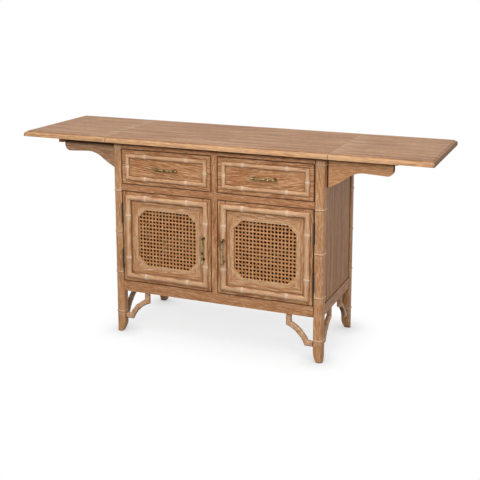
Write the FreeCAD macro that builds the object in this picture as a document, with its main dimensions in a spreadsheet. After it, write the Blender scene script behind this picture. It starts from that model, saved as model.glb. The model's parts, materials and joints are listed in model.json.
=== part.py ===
import FreeCAD, Part
import os

import Sketcher

# Drop leaf server in washed oak: faux-bamboo posts and mouldings, two drawers over two caned doors,
# a top with two end leaves on rule joints, and a fly bracket under each leaf.
# Millimetres, +Z up, front towards -Y.

DIMENSIONS = {
    # top
    "overall_height": 914,
    "leaf_length": 430,
    "end_overhang": 21,
    "side_overhang": 34.5,
    "top_thick": 24,
    "rule_radius": 16,
    "rule_quirk": 3,
    "rule_play": 0.4,
    "edge_quirk": 3,
    "edge_round": 12,
    # case
    "case_width": 988,
    "case_depth": 464,
    "post_size": 41,
    "post_round": 12,
    "post_ease": 6,
    "ring_first": 96,
    "ring_top_gap": 33,
    "ring_height": 9,
    "ring_proud": 3,
    "foot_taper": 64,
    "foot_tip": 25,
    "rail_lift": 200,
    "bottom_rail": 48,
    "mid_rail": 28,
    "top_rail": 28,
    "rail_thick": 22,
    "stile_width": 26,
    "drawer_opening": 163,
    "reveal": 2,
    "panel_recess": 8,
    "panel_thick": 14,
    "side_rail_recess": 4,
    "side_rail_thick": 20,
    "back_recess": 4,
    "back_rail_thick": 20,
    "back_thick": 6,
    "board_thick": 12,
    "dust_thick": 10,
    "dust_drop": 14,
    "shelf_thick": 16,
    "shelf_height": 452,
    "shelf_setback": 46,
    "shelf_play": 0.5,
    "pin_radius": 3,
    "pin_seat": 9,
    "pin_reach": 10,
    "pin_inset": 60,
    "bore_play": 0.05,
    # spandrels
    "spandrel_stock": 24,
    "spandrel_thick": 20,
    "spandrel_recess": 6,
    "spandrel_reach": 124,
    "spandrel_foot": 65,
    "spandrel_arc": 137,
    "spandrel_arc_out": 168,
    "spandrel_arc_height": 18,
    "spandrel_soften": 7,
    "collar_width": 7,
    "collar_proud": 1,
    # doors
    "door_thick": 20,
    "frame_width": 42,
    "door_moulding": 20,
    "moulding_margin": 22,
    "door_panel_recess": 6,
    "door_panel_thick": 10,
    "field_margin": 15,
    "field_proud": 2,
    "cane_margin_side": 26.5,
    "cane_margin_end": 33,
    "cane_chamfer": 42,
    "cane_thick": 1.5,
    "cane_depth": 4,
    "bead_width": 6,
    "bead_proud": 1,
    "node_proud": 1.4,
    "node_width": 6,
    "catch_width": 30,
    "catch_height": 14,
    "catch_depth": 26,
    "catch_inset": 12,
    # hinges
    "hinge_height": 90,
    "hinge_offset": 106,
    "leaf_plate": 2,
    "plate_play": 0.1,
    "knuckle_radius": 3.2,
    "knuckle_play": 0.2,
    "hinge_pin": 1.6,
    "strip_hinge_height": 120,
    "drop_hinge_width": 30,
    "drop_hinge_spread": 150,
    "drop_plate_short": 38,
    "drop_plate_long": 70,
    # drawers
    "drawer_moulding": 18,
    "drawer_side": 12,
    "drawer_side_height": 120,
    "drawer_length": 377,
    "drawer_inset": 9.5,
    "drawer_lift": 7,
    "drawer_groove": 6,
    "runner_play": 0.3,
    "runner_width": 20,
    "guide_width": 7,
    "guide_height": 30,
    # pulls
    "pull_length": 118,
    "pull_radius": 5.2,
    "pull_waist": 0.9,
    "pull_bead": 2.2,
    "pull_bead_proud": 0.8,
    "pull_stand": 16,
    "pull_post": 3.5,
    "pull_post_inset": 12,
    "pull_rose": 6.5,
    "pull_rose_thick": 2,
    "pull_saddle": 3,
    "pull_drop": 14,
    # fly brackets
    "bracket_length": 273,
    "bracket_thick": 18,
    "bracket_drop": 133,
    "bracket_arm": 61,
    "bracket_arm_end": 66,
    "bracket_curve": 150,
    "bracket_turn_out": 78,
    "bracket_turn_up": 47,
    "bracket_round": 28,
    "bracket_play": 0.3,
    "stop_length": 28,
    "stop_lap": 8,
    "stop_width": 22,
    "stop_height": 14,
}

RING_COUNT = 5
PULL_SEGMENTS = 3
BUTT_KNUCKLES = 5
DROP_KNUCKLES = 3
QUARTERS = (0.25, 0.75)
MIDDLE = (0.5,)
LEFT, RIGHT = -1, 1

doc = FreeCAD.newDocument("drop_leaf_server")
sheet = doc.addObject("Spreadsheet::Sheet", "sizes")
for row, (alias, value) in enumerate(DIMENSIONS.items(), start=1):
    sheet.set(f"A{row}", alias)
    sheet.set(f"B{row}", str(value))
    sheet.setAlias(f"B{row}", alias)
doc.recompute()


class Size:
    """A length with the sheet formula that gives it, so that one sum sets both."""

    def __init__(self, value, formula):
        self.value = value
        self.formula = formula

    def __add__(self, other):
        other = as_size(other)
        return Size(self.value + other.value, f"({self.formula} + {other.formula})")

    def __sub__(self, other):
        other = as_size(other)
        return Size(self.value - other.value, f"({self.formula} - {other.formula})")

    def __mul__(self, other):
        other = as_size(other)
        return Size(self.value * other.value, f"({self.formula} * {other.formula})")

    def __truediv__(self, other):
        other = as_size(other)
        return Size(self.value / other.value, f"({self.formula} / {other.formula})")

    def __neg__(self):
        return Size(-self.value, f"(0 - {self.formula})")

    def root(self):
        return Size(self.value**0.5, f"sqrt({self.formula})")


def as_size(value):
    return value if isinstance(value, Size) else Size(float(value), repr(float(value)))


def cell(alias):
    return Size(float(sheet.get(alias)), f"sizes.{alias}")


def bind(item, path, length):
    item.setExpression(path, as_size(length).formula)


def place(item, x, y, z, rotation=None):
    if rotation:
        item.Placement = FreeCAD.Placement(FreeCAD.Vector(), rotation)
    for axis, length in zip("xyz", (x, y, z)):
        bind(item, f"Placement.Base.{axis}", length)
    return item


def turn_z(angle):
    return FreeCAD.Rotation(FreeCAD.Vector(0, 0, 1), angle)


# a flat outline drawn in XY stands up with its Y as height and its thickness towards the front
UPRIGHT = FreeCAD.Rotation(FreeCAD.Vector(1, 0, 0), 90)
ALONG_X = FreeCAD.Rotation(FreeCAD.Vector(0, 1, 0), 90)
ALONG_Y = FreeCAD.Rotation(FreeCAD.Vector(1, 0, 0), -90)
# half-round bands: flat side on the face behind, round side to the front
BAND_LYING = FreeCAD.Rotation(FreeCAD.Vector(0, 0, 1), FreeCAD.Vector(0, -1, 0), FreeCAD.Vector(1, 0, 0))
BAND_STANDING = turn_z(180)

# a section drawn in XY that a stick passes through where its arc is at 45 degrees
ACROSS_ARC = FreeCAD.Rotation(FreeCAD.Vector(-1, 1, 0), FreeCAD.Vector(0, 0, 1), FreeCAD.Vector(1, 1, 0))

nodes = []


def node(item, label):
    item.Label = label
    nodes.append(item)
    return item


def block(name, x, y, z):
    item = doc.addObject("Part::Box", name)
    for path, (low, high) in zip(("Length", "Width", "Height"), (x, y, z)):
        bind(item, path, as_size(high) - low)
    return place(item, x[0], y[0], z[0])


def rod(name, radius, length, x, y, z, rotation=None):
    item = doc.addObject("Part::Cylinder", name)
    bind(item, "Radius", radius)
    bind(item, "Height", length)
    return place(item, x, y, z, rotation)


def cut(name, base, tool):
    item = doc.addObject("Part::Cut", name)
    item.Base, item.Tool = base, tool
    return item


def fuse(name, pieces):
    item = doc.addObject("Part::MultiFuse", name)
    item.Shapes = pieces
    item.Refine = True
    return item


def group(name, pieces):
    item = doc.addObject("Part::Compound", name)
    item.Links = pieces
    return item


def mirrored(side, span):
    """A span of the right half, or its mirror image in the left half."""
    low, high = as_size(span[0]), as_size(span[1])
    return (low, high) if side == RIGHT else (-high, -low)


def new_body(name):
    return doc.addObject("PartDesign::Body", name)


def origin_item(body, role):
    return next(item for item in body.Origin.OriginFeatures if item.Role == role)


def new_sketch(body, name, plane="XY_Plane", offset=None):
    sketch = body.newObject("Sketcher::SketchObject", name)
    sketch.AttachmentSupport = (origin_item(body, plane), [""])
    sketch.MapMode = "FlatFace"
    if offset is not None:
        bind(sketch, "AttachmentOffset.Base.z", offset)
    return sketch


def arc_between(start, end, radius, turn):
    """The short arc from start to end, its centre on the left of the way along for turn 1, right for -1."""
    chord = end - start
    left = FreeCAD.Vector(-chord.y, chord.x, 0).normalize()
    height = max(radius**2 - chord.Length**2 / 4, 0) ** 0.5
    centre = (start + end) * 0.5 + left * (height * turn)
    first, last = (start, end) if turn > 0 else (end, start)
    axis = FreeCAD.Vector(1, 0, 0)
    angles = []
    for point in (first, last):
        ray = point - centre
        angle = axis.getAngle(ray)
        angles.append(angle if ray.y >= 0 else -angle)
    circle = Part.Circle(centre, FreeCAD.Vector(0, 0, 1), radius)
    return Part.ArcOfCircle(circle, angles[0], angles[1])


def draw(sketch, corners, closed=True):
    """Lines and arcs from corner to corner, each corner held by its two sizes.

    A corner is (u, v), or (u, v, radius, turn) where an arc leaves it.
    """
    points = [FreeCAD.Vector(as_size(c[0]).value, as_size(c[1]).value, 0) for c in corners]
    count = len(corners) if closed else len(corners) - 1
    ends = []
    for index in range(count):
        start, end = points[index], points[(index + 1) % len(points)]
        if len(corners[index]) == 2:
            ends.append((sketch.addGeometry(Part.LineSegment(start, end)), 1, 2))
            continue
        radius, turn = as_size(corners[index][2]), corners[index][3]
        arc = sketch.addGeometry(arc_between(start, end, radius.value, turn))
        ends.append((arc, 1, 2) if turn > 0 else (arc, 2, 1))
    for index in range(count if closed else count - 1):
        one, other = ends[index], ends[(index + 1) % len(ends)]
        sketch.addConstraint(Sketcher.Constraint("Coincident", one[0], one[2], other[0], other[1]))
    for index, corner in enumerate(corners):
        curve, start, end = ends[min(index, count - 1)]
        point = start if index < count else end
        for kind, axis, length in (("DistanceX", -2, corner[0]), ("DistanceY", -1, corner[1])):
            length = as_size(length)
            if length.value == 0:
                sketch.addConstraint(Sketcher.Constraint("PointOnObject", curve, point, axis))
                continue
            held = sketch.addConstraint(Sketcher.Constraint(kind, -1, 1, curve, point, length.value))
            bind(sketch, f"Constraints[{held}]", length)
        if len(corner) > 2 and index < count:
            radius = as_size(corner[2])
            held = sketch.addConstraint(Sketcher.Constraint("Radius", curve, radius.value))
            bind(sketch, f"Constraints[{held}]", radius)
    return sketch


def rounded_box(left, right, low, high, radius, ease=None):
    """A box with round corners; ease is the radius of the low right and high left ones, if it differs."""
    left, low = as_size(left), as_size(low)
    ease = radius if ease is None else ease
    return [
        (left + radius, low), (right - ease, low, ease, 1),
        (right, low + ease), (right, high - radius, radius, 1),
        (right - radius, high), (left + ease, high, ease, 1),
        (left, high - ease), (left, low + radius, radius, 1),
    ]


def rectangle(x, y):
    return [(x[0], y[0]), (x[1], y[0]), (x[1], y[1]), (x[0], y[1])]


def pad(body, sketch, length):
    item = body.newObject("PartDesign::Pad", f"{sketch.Name}_pad")
    item.Profile = sketch
    bind(item, "Length", length)
    sketch.Visibility = False
    return item


def pocket(body, sketch, length=None, reverse=False):
    item = body.newObject("PartDesign::Pocket", f"{sketch.Name}_pocket")
    item.Profile = sketch
    item.Reversed = reverse
    if length is None:
        item.Type = "ThroughAll"
    else:
        bind(item, "Length", length)
    return item


def pipe(body, profile, spine):
    item = body.newObject("PartDesign::AdditivePipe", f"{profile.Name}_pipe")
    item.Profile = profile
    item.Spine = (spine, [])
    item.Transition = "Right corner"
    return item


def faces_along(feature, axis):
    """Names of a feature's flat faces that look along an axis, either way."""
    names = []
    for index, face in enumerate(feature.Shape.Faces, start=1):
        if face.Surface.TypeId == "Part::GeomPlane" and abs(face.normalAt(0, 0).dot(axis)) > 0.999:
            names.append(f"Face{index}")
    return names


# Shared places

half_width = cell("case_width") / 2
half_depth = cell("case_depth") / 2
front = -half_depth
back = half_depth
top_under = cell("overall_height") - cell("top_thick")
post_inner_x = half_width - cell("post_size")
post_inner_y = half_depth - cell("post_size")

rail_low = cell("rail_lift")
door_low = rail_low + cell("bottom_rail")
drawer_high = top_under - cell("top_rail")
drawer_low = drawer_high - cell("drawer_opening")
door_high = drawer_low - cell("mid_rail")

rail_back = front + cell("rail_thick")
panel_outer = half_width - cell("panel_recess")
panel_inner = panel_outer - cell("panel_thick")
back_face = back - cell("back_recess")
back_rail_front = back_face - cell("back_rail_thick")

front_inner = cell("stile_width") / 2 + cell("reveal")
front_outer = post_inner_x - cell("reveal")
front_wide = front_outer - front_inner
door_span = (door_low + cell("reveal"), door_high - cell("reveal"))
drawer_span = (drawer_low + cell("reveal"), drawer_high - cell("reveal"))
door_back = front + cell("door_thick")

hinge_x = post_inner_x - cell("reveal") / 2
hinge_y = front - cell("knuckle_radius") - cell("knuckle_play")
mortise_depth = cell("leaf_plate") + cell("plate_play") / 2 - cell("reveal") / 2
door_middle = (door_span[0] + door_span[1]) / 2
hinge_lows = [door_middle + cell("hinge_offset") * way - cell("hinge_height") / 2 for way in (-1, 1)]


# Posts

def make_post(label, angle, x, y, mortised_face=None):
    """A post whose two outer faces meet at the corner x, y; bamboo rings wrap those two faces only."""
    body = new_body(label)
    proud, side = cell("ring_proud"), cell("post_size")
    radius, ease = cell("post_round"), cell("post_ease")
    inner = proud + side
    shaft = draw(new_sketch(body, "shaft"), rounded_box(proud, inner, proud, inner, radius, ease))
    pad(body, shaft, top_under)

    half_ring = cell("ring_height") / 2
    ring_low, ring_high = cell("ring_first") - half_ring, cell("ring_first") + half_ring
    bulge = (half_ring * half_ring + proud * proud) / (proud * 2)
    spine = new_sketch(body, "ring_path", offset=cell("ring_first"))
    ring_end = inner - ease / 2
    bend = proud + radius
    wrap = [(ring_end, proud), (bend, proud, radius, -1), (proud, bend), (proud, ring_end)]
    draw(spine, wrap, closed=False)
    section = new_sketch(body, "ring_section", "YZ_Plane", offset=ring_end)
    root = proud * 2
    draw(section, [(root, ring_low), (root, ring_high), (proud, ring_high, bulge, 1), (proud, ring_low)])
    ring = pipe(body, section, spine)
    rings = body.newObject("PartDesign::LinearPattern", "rings")
    rings.Originals = [ring]
    rings.Direction = (origin_item(body, "Z_Axis"), [""])
    bind(rings, "Length", top_under - cell("ring_first") - cell("ring_top_gap"))
    rings.Occurrences = RING_COUNT
    body.Tip = rings

    taper, drop = cell("foot_taper"), side - cell("foot_tip")
    sweep = (taper * taper + drop * drop) / (drop * 2)
    toe = proud + cell("foot_tip")
    waste = [(toe, 0), (inner, 0), (inner, taper, sweep, -1)]
    pocket(body, draw(new_sketch(body, "foot_side", "XZ_Plane"), waste))
    pocket(body, draw(new_sketch(body, "foot_face", "YZ_Plane"), waste), reverse=True)

    if mortised_face:
        plane, reverse = mortised_face
        seat = proud + cell("door_thick")
        for index, low in enumerate(hinge_lows):
            sketch = new_sketch(body, f"mortise_{index}", plane, offset=inner if reverse else -inner)
            draw(sketch, rectangle((proud / 2, seat), (low, low + cell("hinge_height"))))
            pocket(body, sketch, mortise_depth, reverse=not reverse)
    shift = {0: (-proud, -proud), 90: (proud, -proud), 180: (proud, proud), 270: (-proud, proud)}[angle]
    place(body, as_size(x) + shift[0], as_size(y) + shift[1], 0, turn_z(angle))
    return node(body, label)


make_post("front_left_post", 0, -half_width, front, mortised_face=("YZ_Plane", True))
make_post("front_right_post", 90, half_width, front, mortised_face=("XZ_Plane", False))
make_post("back_right_post", 180, half_width, back)
make_post("back_left_post", 270, -half_width, back)


# Rails, stiles, panels and boards

across = (-post_inner_x, post_inner_x)
rail_y = (front, rail_back)
node(block("front_top_rail", across, rail_y, (drawer_high, top_under)), "front_top_rail")
node(block("front_mid_rail", across, rail_y, (door_high, drawer_low)), "front_mid_rail")
node(block("front_bottom_rail", across, rail_y, (rail_low, door_low)), "front_bottom_rail")
stile_x = (-cell("stile_width") / 2, cell("stile_width") / 2)
node(block("drawer_stile", stile_x, rail_y, (drawer_low, drawer_high)), "drawer_stile")
node(block("door_stile", stile_x, rail_y, (door_low, door_high)), "door_stile")

along = (-post_inner_y, post_inner_y)
side_rail_outer = half_width - cell("side_rail_recess")
side_rail_x = (side_rail_outer - cell("side_rail_thick"), side_rail_outer)
top_rail_x = (panel_inner - cell("side_rail_thick"), panel_inner)
pin_places = (-post_inner_y + cell("pin_inset"), post_inner_y - cell("pin_inset"))
pin_height = cell("shelf_height") - cell("pin_radius")


def shelf_pin(name, side, y, reach):
    """A pin pressed into a side panel and reaching inwards, or with no reach the bore that holds it."""
    x = mirrored(side, (panel_inner - reach, panel_inner + cell("pin_seat")))
    return rod(name, cell("pin_radius"), x[1] - x[0], x[0], y, pin_height, ALONG_X)


for side, word in ((LEFT, "left"), (RIGHT, "right")):
    board = block(f"{word}_board", mirrored(side, (panel_inner, panel_outer)), along, (door_low, top_under))
    bores = [shelf_pin(f"{word}_bore_{index}", side, y, 0) for index, y in enumerate(pin_places)]
    node(cut(f"{word}_panel", board, group(f"{word}_bores", bores)), f"{word}_side_panel")
    rail = block(f"{word}_rail", mirrored(side, side_rail_x), along, (rail_low, door_low))
    node(rail, f"{word}_side_rail")

top_rails = [
    block(f"side_top_rail_{side}", mirrored(side, top_rail_x), along, (drawer_high, top_under))
    for side in (LEFT, RIGHT)
]
node(group("top_rails", top_rails), "side_top_rails")

back_y = (back_rail_front, back_face)
back_rails = [
    block("back_rail_low", across, back_y, (rail_low, door_low)),
    block("back_rail_high", across, back_y, (drawer_high, top_under)),
]
node(group("rails_behind", back_rails), "back_rails")
back_sheet_front = back_face - cell("back_thick")
node(block("back_panel", across, (back_sheet_front, back_face), (door_low, drawer_high)), "back_panel")


def notched_board(label, half, back_edge, low, thick):
    """A board from side to side, notched round the four posts."""
    body = new_body(label)
    wide, notch = half * 2, half - post_inner_x
    deep = back_edge - rail_back
    step = -post_inner_y - rail_back
    far = post_inner_y - rail_back
    outline = [
        (notch, 0), (wide - notch, 0), (wide - notch, step), (wide, step), (wide, far), (wide - notch, far),
        (wide - notch, deep), (notch, deep), (notch, far), (0, far), (0, step), (notch, step),
    ]
    pad(body, draw(new_sketch(body, f"{label}_outline"), outline), thick)
    return node(place(body, -half, rail_back, low), label)


board_low = door_low - cell("board_thick")
notched_board("bottom_board", side_rail_x[0], back_rail_front, board_low, cell("board_thick"))
dust_high = drawer_low - cell("dust_drop")
dust_low = dust_high - cell("dust_thick")
notched_board("dust_board", panel_inner, back_sheet_front, dust_low, cell("dust_thick"))

shelf_edge = panel_inner - cell("shelf_play")
shelf_y = (front + cell("shelf_setback"), post_inner_y - cell("shelf_play"))
shelf_z = (cell("shelf_height"), cell("shelf_height") + cell("shelf_thick"))
node(block("shelf", (-shelf_edge, shelf_edge), shelf_y, shelf_z), "shelf")
pins = [
    shelf_pin(f"shelf_pin_{side}_{index}", side, y, cell("pin_reach"))
    for side in (LEFT, RIGHT)
    for index, y in enumerate(pin_places)
]
node(group("pins", pins), "shelf_pins")


# Bamboo fretwork spandrels between posts and rails

def soften(body, feature, radius):
    """Round every edge of a feature's two flat faces."""
    doc.recompute()
    item = body.newObject("PartDesign::Fillet", f"{feature.Name}_soft")
    item.Base = (feature, faces_along(feature, FreeCAD.Vector(0, 0, 1)))
    bind(item, "Radius", radius)


def make_spandrel(name, angle, x, y):
    """A bent bamboo stick from rail to post: stub, arc, stub. It runs out from the post along angle."""
    body = new_body(name)
    stock, reach, foot = cell("spandrel_stock"), cell("spandrel_reach"), cell("spandrel_foot")
    out, height, near = cell("spandrel_arc_out"), cell("spandrel_arc_height"), cell("spandrel_arc")
    wide = near + stock

    def height_on(radius, u):
        return height + (radius * radius - (out - u) * (out - u)).root()

    def reach_on(radius, v):
        return out - (radius * radius - (v - height) * (v - height)).root()

    inner_edge = reach - stock
    ledge = foot + stock
    outline = [
        (inner_edge, rail_low), (inner_edge, height_on(wide, inner_edge), wide, 1),
        (reach_on(wide, ledge), ledge), (0, ledge), (0, foot), (reach_on(near, foot), foot, near, -1),
        (reach, height_on(near, reach)), (reach, rail_low),
    ]
    thick, soft = cell("spandrel_thick"), cell("spandrel_soften")
    stick = pad(body, draw(new_sketch(body, f"{name}_outline"), outline), thick)
    soften(body, stick, soft)

    # the collar crosses the arc half way round, at 45 degrees
    collar = new_body(f"{name}_collar")
    proud, wrap = cell("collar_proud"), cell("collar_width")
    section = rounded_box(0, stock + proud * 2, 0, thick + proud * 2, soft + proud)
    pad(collar, draw(new_sketch(collar, f"{name}_collar_section"), section), wrap)
    slant = as_size(0.5).root()
    inner = near - proud
    place(collar, out - (inner + wrap / 2) * slant, height + (inner - wrap / 2) * slant, -proud, ACROSS_ARC)
    return place(fuse(f"{name}_bamboo", [body, collar]), x, y, 0, turn_z(angle) * UPRIGHT)


front_face = front + cell("spandrel_recess")
front_behind = front_face + cell("spandrel_thick")
side_face = half_width - cell("spandrel_recess")
side_behind = side_face - cell("spandrel_thick")
node(group("spandrels_front", [
    make_spandrel("spandrel_front_left", 0, -post_inner_x, front_behind),
    make_spandrel("spandrel_front_right", 180, post_inner_x, front_face),
]), "front_spandrels")
node(group("spandrels_left", [
    make_spandrel("spandrel_left_front", 90, -side_face, -post_inner_y),
    make_spandrel("spandrel_left_back", 270, -side_behind, post_inner_y),
]), "left_side_spandrels")
node(group("spandrels_right", [
    make_spandrel("spandrel_right_front", 90, side_behind, -post_inner_y),
    make_spandrel("spandrel_right_back", 270, side_face, post_inner_y),
]), "right_side_spandrels")


# Top, leaves and their drop-leaf hinges. The hinge pin is the centre of the rule joint's round.

slab, slab_deep = cell("top_thick"), (half_depth + cell("side_overhang")) * 2
rule, quirk, play = cell("rule_radius"), cell("rule_quirk"), cell("rule_play")
pin_up = slab - quirk - rule
seam = half_width + cell("end_overhang")
lip = seam + rule
drop_z = top_under + pin_up
drop_ys = [cell("drop_hinge_spread") * way - cell("drop_hinge_width") / 2 for way in (-1, 1)]
barrel_room = cell("knuckle_radius") + play


def edge_waste(far=None):
    """What the edge moulding takes off: quirk, then a quarter round. far mirrors it to that edge."""
    size, step = cell("edge_round"), slab - cell("edge_quirk")
    if far is None:
        return [(0, step - size, size, -1), (size, step), (size, slab), (0, slab)]
    return [(far, step - size), (far, slab), (far - size, slab), (far - size, step, size, -1)]


def mould_long_edges(body, name):
    for tag, waste in (("front", edge_waste()), ("back", edge_waste(slab_deep))):
        pocket(body, draw(new_sketch(body, f"{name}_{tag}_edge", "YZ_Plane"), waste), reverse=True)


def hinge_beds(body, name, x, deep):
    for index, low in enumerate(drop_ys):
        y = (low + slab_deep / 2 - play, low + slab_deep / 2 + cell("drop_hinge_width") + play)
        sketch = draw(new_sketch(body, f"{name}_{index}"), rectangle(x, y))
        pocket(body, sketch, deep, reverse=True)


def make_centre_top():
    body = new_body("centre_top")
    long = lip * 2
    section = [
        (0, 0), (long, 0), (long, pin_up, rule, 1), (long - rule, slab - quirk), (long - rule, slab),
        (rule, slab), (rule, slab - quirk, rule, 1), (0, pin_up),
    ]
    sketch = draw(new_sketch(body, "top_section", "XZ_Plane"), section)
    pad(body, sketch, slab_deep).Reversed = True
    mould_long_edges(body, "top")
    short = cell("drop_plate_short") + play
    for tag, pin_x, bed in (
        ("left", rule, (as_size(0), rule + short)),
        ("right", long - rule, (long - rule - short, long)),
    ):
        hinge_beds(body, f"bed_{tag}", bed, cell("leaf_plate"))
        hinge_beds(body, f"barrel_{tag}", (pin_x - barrel_room, pin_x + barrel_room), pin_up + barrel_room)
    return node(place(body, -lip, -slab_deep / 2, top_under), "centre_top")


def make_leaf(label, angle):
    body = new_body(label)
    cove = rule + play
    long = cell("leaf_length")
    cove_top = pin_up + (cove * cove - play * play).root()
    section = [(cove, 0), (long, 0), (long, slab), (play, slab), (play, cove_top, cove, -1), (cove, pin_up)]
    pad(body, draw(new_sketch(body, "leaf_section", "XZ_Plane"), section), slab_deep).Reversed = True
    mould_long_edges(body, "leaf")
    pocket(body, draw(new_sketch(body, "leaf_end_edge", "XZ_Plane"), edge_waste(long)))
    hinge_beds(body, "leaf_bed", (cove - play, cell("drop_plate_long") + play), cell("leaf_plate"))
    out = as_size(1 if angle == 0 else -1)
    return node(place(body, seam * out, -slab_deep / 2 * out, top_under, turn_z(angle)), label)


make_centre_top()
make_leaf("left_leaf", 180)
make_leaf("right_leaf", 0)


def knuckles(name, count, low, length, gap, make):
    """Knuckle rods in turn along a hinge, a gap at both ends: the fixed plate's and the moving plate's."""
    pitch = length / count
    sets = ([], [])
    for index in range(count):
        start = low + pitch * index + gap
        sets[index % 2].append(make(f"{name}_knuckle_{index}", start, pitch - gap * 2))
    return sets


def make_hinge(name, count, low, length, plate, flap, barrel):
    """Fixed plate, moving plate and pin; the pin is fast in the fixed plate and free in the other."""
    gap, none = cell("knuckle_play") / 2, as_size(0)
    room = cell("knuckle_radius") + cell("knuckle_play")
    own = knuckles(name, count, low, length, gap, barrel(cell("knuckle_radius")))
    rooms = knuckles(f"{name}_room", count, low, length, none, barrel(room))
    bores = (cell("hinge_pin"), cell("hinge_pin") + cell("bore_play"))
    plates = []
    for index, (sheet_metal, word) in enumerate(((plate, "fixed"), (flap, "moving"))):
        cleared = cut(f"{name}_{word}_cleared", sheet_metal, group(f"{name}_{word}_room", rooms[1 - index]))
        whole = fuse(f"{name}_{word}_whole", [cleared] + own[index])
        bore = barrel(bores[index])(f"{name}_{word}_bore", low, length)
        plates.append(cut(f"{name}_{word}", whole, bore))
    return plates + [barrel(cell("hinge_pin"))(f"{name}_pin", low, length)]


def make_drop_hinge(name, side, y):
    """One drop-leaf hinge lying along Y under the rule joint: centre plate, leaf plate and pin."""
    length = cell("drop_hinge_width")
    pin_x = seam * side

    def barrel(radius):
        return lambda tag, start, run: rod(tag, radius, run, pin_x, start, drop_z, ALONG_Y)

    along_pin, z = (y, y + length), (top_under, top_under + cell("leaf_plate"))
    short = block(f"{name}_short", mirrored(side, (seam - cell("drop_plate_short"), seam)), along_pin, z)
    long = block(f"{name}_long", mirrored(side, (seam, seam + cell("drop_plate_long"))), along_pin, z)
    return make_hinge(name, DROP_KNUCKLES, y, length, short, long, barrel)


drop_hinges = []
for side, word in ((LEFT, "left"), (RIGHT, "right")):
    for index, y in enumerate(drop_ys):
        drop_hinges += make_drop_hinge(f"drop_hinge_{word}_{index}", side, y)
node(group("drop_hinges", drop_hinges), "leaf_hinges")


# Butt hinges standing along Z, for the doors and the fly brackets

def make_butt_hinge(name, side, x, y, low, length, plate_y):
    """A hinge whose fixed plate is on the given side of its pin and whose plates lie face to face."""
    def barrel(radius):
        return lambda tag, start, run: rod(tag, radius, run, x, y, start)

    gap = cell("plate_play") / 2
    z = (low, low + length)
    near, far = (gap, gap + cell("leaf_plate")), (-gap - cell("leaf_plate"), -gap)
    fixed_x, moving_x = (near, far) if side == RIGHT else (far, near)
    plate = block(f"{name}_plate", (as_size(x) + fixed_x[0], as_size(x) + fixed_x[1]), plate_y, z)
    flap = block(f"{name}_flap", (as_size(x) + moving_x[0], as_size(x) + moving_x[1]), plate_y, z)
    return make_hinge(name, BUTT_KNUCKLES, low, length, plate, flap, barrel)


# Half-round bamboo mouldings with node bands

def make_moulding(name, x, z, width, face, across_nodes, upright_nodes):
    """A half-round frame on a face, mitred at the corners; x and z are its outer spans."""
    body = new_body(f"{name}_run")
    long, high, half = x[1] - x[0], z[1] - z[0], width / 2
    spine = new_sketch(body, f"{name}_path")
    far, top = long - half, high - half
    draw(spine, [(long / 2, half), (far, half), (far, top), (half, top), (half, half)])
    section = new_sketch(body, f"{name}_section", "YZ_Plane", offset=long / 2)
    draw(section, [(0, 0), (width, 0, half, 1), (half, half, half, 1)])
    pipe(body, section, spine)
    place(body, x[0], face, z[0], UPRIGHT)

    pieces = [body]
    band, run = half + cell("node_proud"), cell("node_width")
    for share in across_nodes:
        for level in (z[0] + half, z[1] - half):
            start = x[0] + long * share - run / 2
            pieces.append(rod(f"{name}_band_{len(pieces)}", band, run, start, face, level, BAND_LYING))
    for share in upright_nodes:
        for place_x in (x[0] + half, x[1] - half):
            start = z[0] + high * share - run / 2
            pieces.append(rod(f"{name}_band_{len(pieces)}", band, run, place_x, face, start, BAND_STANDING))
    for piece in pieces[1:]:
        piece.Angle = 180
    return fuse(f"{name}_frame", pieces)


# Bamboo-shaped pulls: a waisted bar with beads at its joints, on two posts with roses

def make_pull(name, x, z, face, standing, sunk=0):
    """A pull standing off a face; its roses run on past the face by sunk."""
    long, radius = cell("pull_length"), cell("pull_radius")
    body = new_body(f"{name}_bar")
    bead, bulge, waist = cell("pull_bead"), cell("pull_bead_proud"), cell("pull_waist")
    step = (long - bead * 2) / PULL_SEGMENTS
    half = step / 2 - bead
    swell = (bead * bead + bulge * bulge) / (bulge * 2)
    hollow = (half * half + waist * waist) / (waist * 2)
    outline = [(0, 0)]
    for index in range(PULL_SEGMENTS):
        outline += [(step * index, radius, swell, -1), (step * index + bead * 2, radius, hollow, 1)]
    outline += [(step * PULL_SEGMENTS, radius, swell, -1), (long, radius), (long, 0)]
    sketch = draw(new_sketch(body, f"{name}_outline"), outline)
    bar = body.newObject("PartDesign::Revolution", f"{name}_turned")
    bar.Profile = sketch
    bar.ReferenceAxis = (sketch, ["H_Axis"])
    bar.Angle = 360
    bar_y = as_size(face) - cell("pull_stand")
    start = -long / 2
    ends = (start + cell("pull_post_inset"), -start - cell("pull_post_inset"))
    if standing:
        place(body, x, bar_y, as_size(z) + start, FreeCAD.Rotation(FreeCAD.Vector(0, 1, 0), -90))
        seats = [(x, as_size(z) + end) for end in ends]
    else:
        place(body, as_size(x) + start, bar_y, z)
        seats = [(as_size(x) + end, z) for end in ends]
    pieces = [body]
    rose, stand = cell("pull_rose_thick"), cell("pull_stand")
    for index, (seat_x, seat_z) in enumerate(seats):
        stem = rod(f"{name}_stem_{index}", cell("pull_post"), stand, seat_x, bar_y, seat_z, ALONG_Y)
        rose_y = as_size(face) - rose
        foot = rod(f"{name}_rose_{index}", cell("pull_rose"), rose + sunk, seat_x, rose_y, seat_z, ALONG_Y)
        pieces += [stem, foot]
    return fuse(f"{name}_pull_whole", pieces)


# Doors

def octagon(x, y, chamfer):
    return [
        (x[0] + chamfer, y[0]), (x[1] - chamfer, y[0]), (x[1], y[0] + chamfer), (x[1], y[1] - chamfer),
        (x[1] - chamfer, y[1]), (x[0] + chamfer, y[1]), (x[0], y[1] - chamfer), (x[0], y[0] + chamfer),
    ]


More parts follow.
